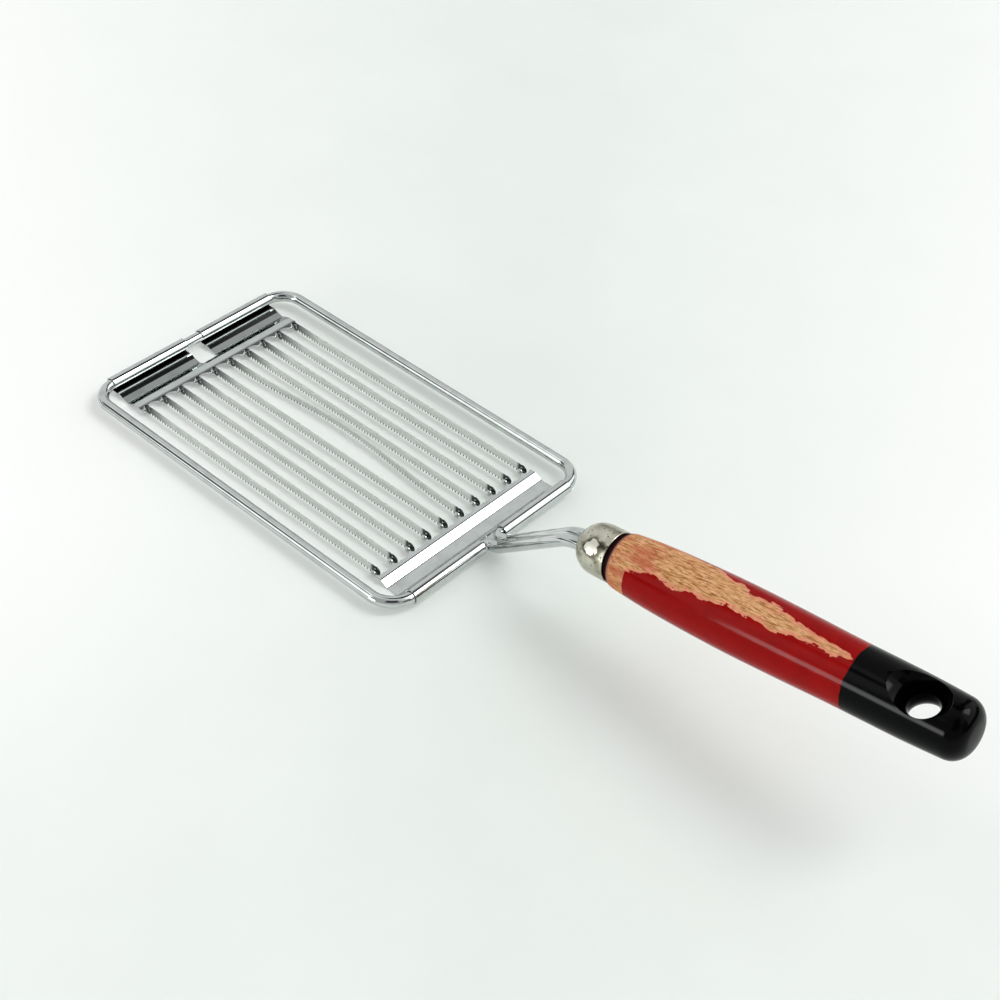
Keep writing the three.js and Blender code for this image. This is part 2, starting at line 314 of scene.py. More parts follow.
def arc(middle: tuple[float, float], radius: float, start: float, end: float, steps: int) -> list[Vector]:
    """Points of an arc in the XZ plane.

    Args:
        middle: x and z of its middle in millimetres.
        radius: Its radius in millimetres.
        start: The angle it starts at, in degrees from X towards Z.
        end: The angle it ends at.
        steps: How many parts it has.

    Returns:
        The points in metres.
    """
    points = []
    for step in range(steps + 1):
        angle = math.radians(start + (end - start) * step / steps)
        across = middle[0] + radius * math.cos(angle)
        points.append(Vector((across, 0.0, middle[1] + radius * math.sin(angle))) * MM)
    return points


@dataclass(frozen=True)
class Corner:
    """A corner of a bent line: where its straight runs would meet, and its radius, in millimetres."""

    at: Vector
    radius: float = 0.0


def follow(corners: Sequence[Corner], step_angle: float) -> None:
    """Extrudes what is selected along straight runs and swings it round each bend.

    Args:
        corners: The line, from where the selection is to its end.
        step_angle: The largest turn of one step in degrees.
    """
    here = corners[0].at
    for before, corner, after in zip(corners, corners[1:], corners[2:]):
        coming = (corner.at - before.at).normalized()
        going = (after.at - corner.at).normalized()
        turn = coming.angle(going)
        start = corner.at - coming * corner.radius * math.tan(turn / 2)
        inward = (going - coming * math.cos(turn)).normalized()
        centre = start + inward * corner.radius
        pull((start - here) * MM)
        steps = max(3, math.ceil(math.degrees(turn) / step_angle))
        swing(centre * MM, coming.cross(going).normalized(), turn, steps)
        here = centre - inward * corner.radius * math.cos(turn) + coming * corner.radius * math.sin(turn)
    pull((corners[-1].at - here) * MM)


def leg_cutter(name: str, sides: int, radius: float, start: float, end: float) -> Solid:
    """Makes the cutter of a slot that takes both legs of the wire, along the grip's axis.

    Args:
        name: Its name.
        sides: How many faces go round it.
        radius: The radius round each leg in millimetres.
        start: Where it starts along the axis in millimetres.
        end: Where it ends.

    Returns:
        The cutter.
    """
    cutter = start_from(
        name,
        bpy.ops.mesh.primitive_circle_add,
        vertices=sides,
        radius=radius * MM,
        fill_type="NGON",
        location=(start * MM, 0.0, 0.0),
        rotation=(0.0, math.pi / 2, 0.0),
    )
    with shaping(cutter):
        for side in (-1, 1):
            choose(cutter, Element.POINTS, lambda at, _, side=side: at.y * side > -SLACK)
            bpy.ops.transform.translate(value=(0.0, side * LEG_OFFSET * MM, 0.0))
        bpy.ops.mesh.select_all(action="SELECT")
        pull(Vector(((end - start) * MM, 0.0, 0.0)))
    close_up(cutter)
    return cutter


# Finishes


def linear(hex_colour: str) -> tuple[float, float, float, float]:
    """Turns an sRGB hex colour into linear values.

    Args:
        hex_colour: Six hex digits after a #.

    Returns:
        Red, green, blue and a full alpha.
    """
    shares = [int(hex_colour[i : i + 2], 16) / 255 for i in (1, 3, 5)]
    red, green, blue = (s / 12.92 if s <= 0.04045 else ((s + 0.055) / 1.055) ** 2.4 for s in shares)
    return red, green, blue, 1.0


def per_size(millimetres: float) -> float:
    """The scale of a texture whose features are of a size in millimetres."""
    return 1.0 / (millimetres * MM)


def add_node(
    tree: Tree, kind: str, inputs: Mapping[str | int, Any] | None = None, out: str | int = 0, **settings: Any
) -> Socket | None:
    """Adds a node with its settings, values and links.

    Args:
        tree: The tree it goes into.
        kind: Blender's name of its type, after "ShaderNode".
        inputs: For each input a value, or an output socket to link.
        out: The output that is wanted of it.
        **settings: The node's own settings.

    Returns:
        That output, or None from a node that has none.
    """
    node = tree.nodes.new("ShaderNode" + kind)
    for name, value in settings.items():
        setattr(node, name, value)
    for key, value in (inputs or {}).items():
        if isinstance(value, Socket):
            tree.links.new(value, node.inputs[key])
        else:
            node.inputs[key].default_value = value
    return node.outputs[out] if node.outputs else None


def shape_ramp(ramp: Socket, stops: Sequence[tuple[float, str]]) -> Socket:
    """Sets the colours of a colour ramp.

    Args:
        ramp: Its output.
        stops: The place and the hex colour of each stop.

    Returns:
        The same output.
    """
    elements = ramp.node.color_ramp.elements
    while len(elements) < len(stops):
        elements.new(0.5)
    for element, (place, colour) in zip(elements, stops):
        element.position = place
        element.color = linear(colour)
    return ramp


def shape_curve(curve: Socket, points: Sequence[tuple[float, float]]) -> Socket:
    """Sets a float curve to straight lines between points.

    Args:
        curve: Its output.
        points: The place and the value of each point.

    Returns:
        The same output.
    """
    mapping = curve.node.mapping
    for place, value in points[1:-1]:
        mapping.curves[0].points.new(place, value)
    for point, (place, value) in zip(mapping.curves[0].points, points):
        point.location = (place, value)
        point.handle_type = "VECTOR"
    mapping.update()
    return curve


def new_material(name: str) -> tuple[Material, Tree]:
    """Makes a material with an empty tree.

    Args:
        name: The name of its finish.

    Returns:
        The material and its tree.
    """
    material = bpy.data.materials.new(name)
    material.use_nodes = True
    material.node_tree.nodes.clear()
    return material, material.node_tree


def finish_material(tree: Tree, inputs: Mapping[str, Any]) -> None:
    """Ends a tree with the surface shader and the output."""
    add_node(tree, "OutputMaterial", {"Surface": add_node(tree, "BsdfPrincipled", inputs)})


@dataclass(frozen=True)
class ShadeAndStain:
    """A darker colour laid over a part of a piece: painted shade, which in places also stands for grease, and
    on the teeth for their ground finish.

    Attributes:
        tone: The colour that it gives.
        limits: The axis, where it starts along it and where it is full, in millimetres.
    """

    tone: str
    limits: tuple[tuple[str, float, float], ...]

    def over(self, tree: Tree, place: Socket, colour: Socket) -> Socket:
        """Lays the painted shade over a colour.

        Args:
            tree: The material's tree.
            place: The place on the object.
            colour: The colour of the clean finish.

        Returns:
            The colour of both.
        """
        share: Any = 1.0
        for axis, start, full in self.limits:
            along = add_node(tree, "SeparateXYZ", {0: place}, out=axis)
            part = add_node(tree, "MapRange", {0: along, LOW: start * MM, HIGH: full * MM})
            share = add_node(tree, "Math", {0: share, 1: part}, operation="MULTIPLY")
        inputs = {"Factor": share, "A": colour, "B": linear(self.tone)}
        return add_node(tree, "Mix", inputs, out="Result", data_type="RGBA")


@dataclass(frozen=True)
class ChromePlate:
    """Bright chrome electroplate on steel: a hard blue-white mirror with a faint haze and old scuffs.

    Attributes:
        name: The name of the finish.
        tint: The colour of its reflections.
        dulled: Their colour where the plate is hazy.
        roughness: How much the clean plate blurs.
        haze: What the handled places add to that.
        ripple: How far the surface waves, in millimetres.
        ripple_size: How long a wave is, in millimetres.
        painted_shades: The painted shade that lies over it.
    """

    name: str
    tint: str = "#CDD1D0"
    dulled: str = "#B9BDBC"
    roughness: float = 0.035
    haze: float = 0.07
    ripple: float = 0.02
    ripple_size: float = 12.0
    painted_shades: tuple[ShadeAndStain, ...] = ()

    def material(self) -> Material:
        """Builds the finish.

        Returns:
            The material.
        """
        material, tree = new_material(self.name)
        place = add_node(tree, "TexCoord", out="Object")
        # Handling leaves a soft mottling a few millimetres wide, which blurs the mirror in places.
        mottle = add_node(tree, "TexNoise", {"Vector": place, "Scale": per_size(6.0), "Detail": 3.0})
        limits = {LOW: 0.5, HIGH: 0.75, AT_LOW: self.roughness, AT_HIGH: self.roughness + self.haze}
        blur = add_node(tree, "MapRange", {0: mottle, **limits})
        # Hairline scuffs are drawn 0.3 mm wide, coarser than real ones, so that they show at all.
        drawn = add_node(tree, "Mapping", {"Vector": place, "Scale": (0.12, 1.0, 1.0)})
        scuff = add_node(tree, "TexNoise", {"Vector": drawn, "Scale": per_size(0.3), "Detail": 2.0})
        wave = add_node(
            tree, "TexNoise", {"Vector": place, "Scale": per_size(self.ripple_size), "Detail": 0.0}
        )
        bump = add_node(tree, "Bump", {"Height": wave, "Distance": self.ripple * MM})
        scuffed = {"Height": scuff, "Distance": 0.001 * MM, "Strength": 0.3, "Normal": bump}
        bump = add_node(tree, "Bump", scuffed)
        colour = shape_ramp(add_node(tree, "ValToRGB", {0: mottle}), [(0.45, self.tint), (0.8, self.dulled)])
        for stain in self.painted_shades:
            colour = stain.over(tree, place, colour)
        finish_material(tree, {"Base Color": colour, "Metallic": 1.0, "Roughness": blur, "Normal": bump})
        return material


@dataclass(frozen=True)
class RolledSteel:
    """Satin cold-rolled stainless strip: a soft grey sheen drawn out along the blade by the rolls.

    Attributes:
        name: The name of the finish.
        light: The colour of its lighter rolling lines.
        dark: The colour of its darker rolling lines.
        ground: The colour of the teeth, which the grinding wheel left rougher, made darker as painted shade
            at the blade's foot.
        ground_below: The height of the ground teeth in millimetres.
        end_shade: The painted shade that darkens it towards the combs.
    """

    name: str = "satin_rolled_stainless_strip"
    light: str = "#E2E5E1"
    dark: str = "#C9CDC8"
    ground: str = "#5E625F"
    ground_below: float = 0.95
    end_shade: tuple[ShadeAndStain, ...] = (
        # Painted shade: the blades darken over 13 mm towards the far comb, and round their eyes at the near
        # comb.
        ShadeAndStain("#656A69", (("X", -133.0, -146.0),)),
        ShadeAndStain("#3A3E3D", (("X", -30.4, -29.2),)),
    )

    def material(self) -> Material:
        """Builds the finish.

        Returns:
            The material.
        """
        material, tree = new_material(self.name)
        place = add_node(tree, "TexCoord", out="Object")
        # Rolling lines are drawn 0.25 mm apart, coarser than real ones, and 12 mm long.
        drawn = add_node(tree, "Mapping", {"Vector": place, "Scale": (0.02, 1.0, 1.0)})
        lines = add_node(tree, "TexNoise", {"Vector": drawn, "Scale": per_size(0.25), "Detail": 3.0})
        cloud = add_node(tree, "TexNoise", {"Vector": place, "Scale": per_size(7.0), "Detail": 3.0})
        blur = add_node(tree, "MapRange", {0: cloud, LOW: 0.3, HIGH: 0.75, AT_LOW: 0.22, AT_HIGH: 0.36})
        colour = shape_ramp(add_node(tree, "ValToRGB", {0: lines}), [(0.3, self.dark), (0.62, self.light)])
        # The teeth are painted darker towards the bottom: partly their ground finish, partly painted shade at
        # the blade's foot.
        teeth = ShadeAndStain(self.ground, (("Z", self.ground_below, self.ground_below - 0.12),))
        for stain in (teeth, *self.end_shade):
            colour = stain.over(tree, place, colour)
        bump = add_node(tree, "Bump", {"Height": lines, "Distance": 0.003 * MM, "Strength": 0.5})
        finish_material(tree, {"Base Color": colour, "Metallic": 1.0, "Roughness": blur, "Normal": bump})
        return material


@dataclass(frozen=True)
class AgedNickel:
    """Old nickel plate on a pressed cap: warm grey, dulled and spotted where the plate has let go.

    Attributes:
        name: The name of the finish.
        plate: The colour of the plate.
        stain: Its colour where it is dulled.
        pale: Its colour where it is cleaner.
        pit: The colour of its pin holes.
        worn: The colour of the rubbed patch, which is painted pale as a highlight as well.
        rim_shade: The colour of the painted shade round that.
        patch_at: The middle of the patch on the object in millimetres.
        patch_radius: The radius of the patch in millimetres.
        fray: How far its edge wanders in millimetres.
    """

    name: str = "aged_nickel_plate"
    plate: str = "#BDBAAA"
    stain: str = "#96927F"
    pale: str = "#D2D0C3"
    pit: str = "#3A352C"
    worn: str = "#E6E3D6"
    rim_shade: str = "#45412E"
    patch_at: Vector = field(default_factory=lambda: Vector((38.3, -6.3, 37.2)))
    patch_radius: float = 2.85
    fray: float = 1.7

    def material(self) -> Material:
        """Builds the finish.

        Returns:
            The material.
        """
        material, tree = new_material(self.name)
        place = add_node(tree, "TexCoord", out="Object")
        cloud = add_node(tree, "TexNoise", {"Vector": place, "Scale": per_size(4.5), "Detail": 5.0})
        stops = [(0.32, self.stain), (0.5, self.plate), (0.72, self.pale)]
        colour = shape_ramp(add_node(tree, "ValToRGB", {0: cloud}), stops)
        # Pin holes in the plate are about 0.5 mm across and a few millimetres apart.
        pits = add_node(tree, "TexVoronoi", {"Vector": place, "Scale": per_size(1.6)})
        pitted = add_node(tree, "MapRange", {0: pits, LOW: 0.2, HIGH: 0.1})
        # A rubbed patch of the plate about 6 mm wide is painted pale, also as a painted highlight, in a ring
        # of painted shade.
        ends = {0: place, 1: self.patch_at * MM}
        away = add_node(tree, "VectorMath", ends, out="Value", operation="DISTANCE")
        fray = self.fray * MM
        frayed = add_node(tree, "MapRange", {0: cloud, LOW: 0.25, HIGH: 0.75, AT_LOW: -fray, AT_HIGH: fray})
        off = add_node(tree, "Math", {0: away, 1: frayed}, operation="ADD")
        size = self.patch_radius * MM
        inside = add_node(tree, "MapRange", {0: off, LOW: size, HIGH: size * 0.9})
        near = add_node(tree, "MapRange", {0: off, LOW: size * 1.5, HIGH: size * 1.1, AT_HIGH: 0.85})
        for share, tone in ((pitted, self.pit), (near, self.rim_shade), (inside, self.worn)):
            inputs = {"Factor": share, "A": colour, "B": linear(tone)}
            colour = add_node(tree, "Mix", inputs, out="Result", data_type="RGBA")
        sheen = add_node(tree, "MapRange", {0: cloud, LOW: 0.3, HIGH: 0.7, AT_LOW: 0.3, AT_HIGH: 0.16})
        blur = add_node(tree, "Mix", {"Factor": inside, "A": sheen, "B": 0.42}, data_type="FLOAT")
        bump = add_node(tree, "Bump", {"Height": cloud, "Distance": 0.05 * MM, "Strength": 0.4})
        finish_material(tree, {"Base Color": colour, "Metallic": 1.0, "Roughness": blur, "Normal": bump})
        return material


@dataclass(frozen=True)
class WornEnamel:
    """Gloss enamel over turned beech: red with a black dipped end, rubbed through to the wood on top.

    The worn patch is drawn by its two edges. Each edge gives the angle about the handle's axis, in
    degrees from the top towards +Y, for places along the axis in millimetres from the ferrule's end.
    The wander, the blur and the slope of those edges are in turns about the axis. The paint next to the
    ferrule is painted dark as shade in the gap there, as far as seam_end, with a purple-brown band just
    beyond. The hanging hole is dull near its axis and glossy from further out, and the dip line wavers.
    All other lengths are in millimetres.
    """

    name: str = "gloss_enamel_on_turned_beech"
    red: str = "#9C0A08"
    red_shade: str = "#7E0706"
    black: str = "#020203"
    wood: str = "#C8935F"
    wood_light: str = "#E0B08A"
    wood_dark: str = "#8C5630"
    stain: str = "#B4503C"
    fringe: str = "#E28B74"
    seam_shade: str = "#1E0706"
    seam_edge: str = "#966459"
    seam_end: float = 17.3
    seam_fringe: float = 0.6
    seam_blur: float = 0.1
    black_from: float = 103.0
    reach: float = 140.4
    gloss: float = 0.07
    dull_hole: tuple[float, float] = (4.2, 7.0)
    edge_wander: float = 0.016
    edge_blur: float = 0.0008
    paint_slope: float = 0.0025
    dip_waver: float = 0.8
    dip_blur: float = 0.15
    lower_edge: tuple[tuple[float, float], ...] = (
        (0, -180), (23.2, -179), (24.6, -58), (30, -50), (33, -42), (38, -45), (42.5, -48), (46, -47),
        (46.4, -41), (50.5, -41.5), (54, -43), (61, -35), (68, -36), (73, -33), (75.5, -40), (79, -39),
        (81.5, -32), (86, -30), (91, -27), (94, -27), (96.5, -32), (98.5, -28), (102.6, -22), (104, 0),
        (140.4, 0),
    )  # fmt: skip
    upper_edge: tuple[tuple[float, float], ...] = (
        (0, 180), (25, 179), (28, 62), (29, 34), (50, 29), (57, 12), (61, 16), (64, 5), (66, -1), (70, 4),
        (73, 6.5), (78.5, 0), (81.5, -6), (87, -9), (91, -12), (96, -12), (101, -16), (103.4, -21),
        (104, -60), (140.4, -60),
    )  # fmt: skip

    def material(self) -> Material:
        """Builds the finish.

        Returns:
            The material.
        """
        material, tree = new_material(self.name)
        outside = add_node(tree, "TexCoord", out="Object")
        axes = {"Vector": outside, "Location": GRIP_START * MM, "Rotation": (0.0, -GRIP_TILT, 0.0)}
        place = add_node(tree, "Mapping", axes, vector_type="TEXTURE")
        along = add_node(tree, "SeparateXYZ", {0: place}, out="X")
        worn, depth, fringe = self._worn(tree, place)
        wood, grain = self._wood(tree, place, along)
        dip, paint = self._paint(tree, place, along)
        layers = [(dip, linear(self.black)), (worn, None)]
        # Painted shade: the paint up to seam_end is dark, to widen the dark gap at the ferrule, with a
        # purple-brown band just beyond it.
        for end, tone in ((self.seam_end + self.seam_fringe, self.seam_edge), (self.seam_end, self.seam_shade)):
            limits = {LOW: (end + self.seam_blur) * MM, HIGH: (end - self.seam_blur) * MM}
            layers.append((add_node(tree, "MapRange", {0: along, **limits}), linear(tone)))
        bare = {"Factor": fringe, "A": wood, "B": linear(self.fringe)}
        bare = add_node(tree, "Mix", bare, out="Result", data_type="RGBA")
        colour = paint
        for share, tone in layers:
            inputs = {"Factor": share, "A": colour, "B": tone or bare}
            colour = add_node(tree, "Mix", inputs, out="Result", data_type="RGBA")
        blur = add_node(tree, "MapRange", {0: worn, LOW: 0.0, HIGH: 1.0, AT_LOW: 0.12, AT_HIGH: 0.6})
        # The paint is about 0.1 mm thick, and its broken edge catches the light.
        fibres = add_node(tree, "Math", {0: grain, 1: worn}, operation="MULTIPLY")
        step = add_node(tree, "Bump", {"Height": depth, "Distance": 0.14 * MM, "Strength": 1.0})
        grained = {"Height": fibres, "Distance": 0.08 * MM, "Strength": 0.8, "Normal": step}
        bump = add_node(tree, "Bump", grained)
        finish_material(
            tree,
            {
                "Base Color": colour,
                "Roughness": blur,
                "Normal": bump,
                "IOR": 1.5,
                "Specular IOR Level": self._shine(tree, place),
            },
        )
        return material

    def _shine(self, tree: Tree, place: Socket) -> Socket:
        """Draws how glossy the paint is: it is rubbed dull in the hanging hole.

        Args:
            tree: The material's tree.
            place: The place in the grip's own axes.

        Returns:
            The specular level.
        """
        axes = {"Vector": place, "Location": (HOLE_ALONG * MM, 0, 0), "Rotation": (HOLE_TURN, 0, 0)}
        bored = add_node(tree, "Mapping", axes, vector_type="TEXTURE")
        across = add_node(tree, "VectorMath", {0: bored, 1: (1, 1, 0)}, operation="MULTIPLY")
        away = add_node(tree, "VectorMath", {0: across}, out="Value", operation="LENGTH")
        dull, glossy = self.dull_hole
        return add_node(tree, "MapRange", {0: away, LOW: dull * MM, HIGH: glossy * MM, AT_HIGH: self.gloss})

    def _worn(self, tree: Tree, place: Socket) -> tuple[Socket, Socket, Socket]:
        """Draws the worn patch.

        Args:
            tree: The material's tree.
            place: The place in the grip's own axes.

        Returns:
            1 where the wood is bare, the height of the paint, and 1 along the edge of the bare wood.
        """
        parts = add_node(tree, "SeparateXYZ", {0: place}).node.outputs
        along = add_node(tree, "Math", {0: parts["X"], 1: self.reach * MM}, operation="DIVIDE")
        angle = add_node(tree, "Math", {0: parts["Y"], 1: parts["Z"]}, operation="ARCTAN2")
        # The paint breaks along the grain, so its edge is ragged in steps some millimetres long.
        drawn = add_node(tree, "Mapping", {"Vector": place, "Scale": (0.35, 1.0, 1.0)})
        ragged = add_node(tree, "TexNoise", {"Vector": drawn, "Scale": per_size(1.1), "Detail": 4.0})
        limits = {LOW: 0.2, HIGH: 0.8, AT_LOW: -self.edge_wander, AT_HIGH: self.edge_wander}
        shift = add_node(tree, "MapRange", {0: ragged, **limits})
        turn = add_node(tree, "MapRange", {0: angle, LOW: -math.pi, HIGH: math.pi}, clamp=False)
        shifted = add_node(tree, "Math", {0: turn, 1: shift}, operation="ADD")
        edges = []
        for edge in (self.lower_edge, self.upper_edge):
            points = [(s / self.reach, (degrees + 180) / 360) for s, degrees in edge]
            edges.append(shape_curve(add_node(tree, "FloatCurve", {"Value": along}), points))
        above = add_node(tree, "Math", {0: shifted, 1: edges[0]}, operation="SUBTRACT")
        below = add_node(tree, "Math", {0: edges[1], 1: shifted}, operation="SUBTRACT")
        inside = add_node(tree, "Math", {0: above, 1: below}, operation="MINIMUM")
        worn = add_node(tree, "MapRange", {0: inside, LOW: -self.edge_blur, HIGH: self.edge_blur})
        depth = add_node(tree, "MapRange", {0: inside, LOW: self.edge_blur, HIGH: -self.paint_slope})
        fringe = add_node(tree, "MapRange", {0: inside, LOW: 0.02, HIGH: 0.004, AT_HIGH: 0.7})
        return worn, depth, fringe

    def _wood(self, tree: Tree, place: Socket, along: Socket) -> tuple[Socket, Socket]:
        """Draws bare beech with paint left in its pores.

        Args:
            tree: The material's tree.
            place: The place in the grip's own axes.
            along: The place along its axis.

        Returns:
            The colour, and the height of the fibres.
        """
        # Fibres about 0.5 mm wide and 3 mm long, and pores of half that.
        drawn = add_node(tree, "Mapping", {"Vector": place, "Scale": (0.16, 1.0, 1.0)})
        fibre = add_node(tree, "TexNoise", {"Vector": drawn, "Scale": per_size(0.5), "Detail": 4.0})
        short = add_node(tree, "Mapping", {"Vector": place, "Scale": (0.3, 1.0, 1.0)})
        fleck = add_node(tree, "TexNoise", {"Vector": short, "Scale": per_size(0.4), "Detail": 1.0})
        stops = [(0.33, self.wood_dark), (0.47, self.wood), (0.68, self.wood_light)]
        colour = shape_ramp(add_node(tree, "ValToRGB", {0: fibre}), stops)
        pore = add_node(tree, "MapRange", {0: fleck, LOW: 0.58, HIGH: 0.68, AT_HIGH: 0.6})
        # Paint has soaked in near the ferrule, in streaks about 4 mm wide.
        soak = add_node(tree, "TexNoise", {"Vector": drawn, "Scale": per_size(2.2), "Detail": 5.0})
        fading = add_node(tree, "MapRange", {0: along, LOW: 30 * MM, HIGH: 52 * MM, AT_HIGH: 0.22})
        level = add_node(tree, "Math", {0: soak, 1: fading}, operation="SUBTRACT")
        soaked = add_node(tree, "MapRange", {0: level, LOW: 0.4, HIGH: 0.56, AT_HIGH: 0.65})
        for share, tone in ((pore, self.wood_dark), (soaked, self.stain)):
            inputs = {"Factor": share, "A": colour, "B": linear(tone)}
            colour = add_node(tree, "Mix", inputs, out="Result", data_type="RGBA")
        return colour, fibre

    def _paint(self, tree: Tree, place: Socket, along: Socket) -> tuple[Socket, Socket]:
        """Draws the red enamel and its black dipped end.

        Args:
            tree: The material's tree.
            place: The place in the grip's own axes.
            along: The place along its axis.

        Returns:
            1 where the end is dipped, and the colour of the red.
        """
        # The dip line wavers by a few tenths of a millimetre.
        waver = add_node(tree, "TexNoise", {"Vector": place, "Scale": per_size(6.0), "Detail": 2.0})
        limits = {LOW: 0.0, HIGH: 1.0, AT_LOW: -self.dip_waver * MM, AT_HIGH: self.dip_waver * MM}
        offset = add_node(tree, "MapRange", {0: waver, **limits})
        wavered = add_node(tree, "Math", {0: along, 1: offset}, operation="ADD")
        start, full = self.black_from - self.dip_blur, self.black_from + self.dip_blur
        limits = {LOW: start * MM, HIGH: full * MM}
        dipped = add_node(tree, "MapRange", {0: wavered, **limits})
        inputs = {"Factor": waver, "A": linear(self.red), "B": linear(self.red_shade)}
        return dipped, add_node(tree, "Mix", inputs, out="Result", data_type="RGBA")


# Pieces


@dataclass
class Piece:
    """What every piece of the slicer has: the solid that it stands for and the record's finish."""

    node: str
    slot: str

    def hand_over(self, made: Solid, material: Material) -> None:
        """Dresses the made piece and lets it stand for its solid.

        Args:
            made: The finished mesh.
            material: Its finish.
        """
        made.data.materials.clear()
        made.data.materials.append(material)
        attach(made, BODY)
        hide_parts(self.node)
        LOG.info("%s: %d faces, %s", made.name, len(made.data.polygons), material.name)


@dataclass
class FrameWire(Piece):
    """The one bent wire: rectangle, two knuckles, shank of two legs and two tangs. In millimetres."""

    node: str = "frame_wire"
    slot: str = "frame_chrome"
    diameter: float = 4.2
    length: float = 156.5
    width: float = 93.4
    corner_radius: float = 9.5
    knuckle_radius: float = 2.9
    foot: tuple[float, float] = (5.5, 1.6)
    foot_radius: float = 8.0
    top: tuple[float, float] = (35.2, 25.4)
    top_radius: float = 18.0
    tang_reach: float = 52.0
    sides: int = 28

    def route(self) -> list[Corner]:
        """The corners of the wire from one tang to the other, in the object's own axes.

        Returns:
            The corners in millimetres.
        """
        near = self.length / 2
        tang = GRIP_START - HEAD_MIDDLE
        tang = tang + Vector((math.cos(GRIP_TILT), 0.0, math.sin(GRIP_TILT))) * self.tang_reach
        half = [
            Corner(tang),
            Corner(Vector((near + self.top[0], 0.0, self.top[1])), self.top_radius),
            Corner(Vector((near + self.foot[0], 0.0, self.foot[1])), self.foot_radius),
            Corner(Vector((near, 0.0, 0.0)), self.knuckle_radius),
        ]
        for corner in half:
            corner.at.y = LEG_OFFSET
        side = self.width / 2
        half.append(Corner(Vector((near, side, 0.0)), self.corner_radius))
        half.append(Corner(Vector((-near, side, 0.0)), self.corner_radius))
        mirrored = [Corner(Vector((c.at.x, -c.at.y, c.at.z)), c.radius) for c in reversed(half)]
        return [Corner(c.at + HEAD_MIDDLE, c.radius) for c in half + mirrored]

    def build(self, material: Material) -> None:
        """Bends the wire and gives it its plating.

        Args:
            material: Its plating.
        """
        corners = self.route()
        run = corners[1].at - corners[0].at
        wire = start_from(
            "bent_frame_wire",
            bpy.ops.mesh.primitive_circle_add,
            vertices=self.sides,
            radius=self.diameter / 2 * MM,
            location=corners[0].at * MM,
            rotation=run.to_track_quat("Z", "Y").to_euler(),
        )
        with shaping(wire):
            bpy.ops.mesh.select_all(action="SELECT")
            follow(corners, 6.0)
        close_up(wire)
        smooth(wire, 40.0)
        self.hand_over(wire, material)


class PlateSide(Enum):
    """Which end of the head a plate closes, as the sign of its depth along X."""

    FAR = 1
    NEAR = -1


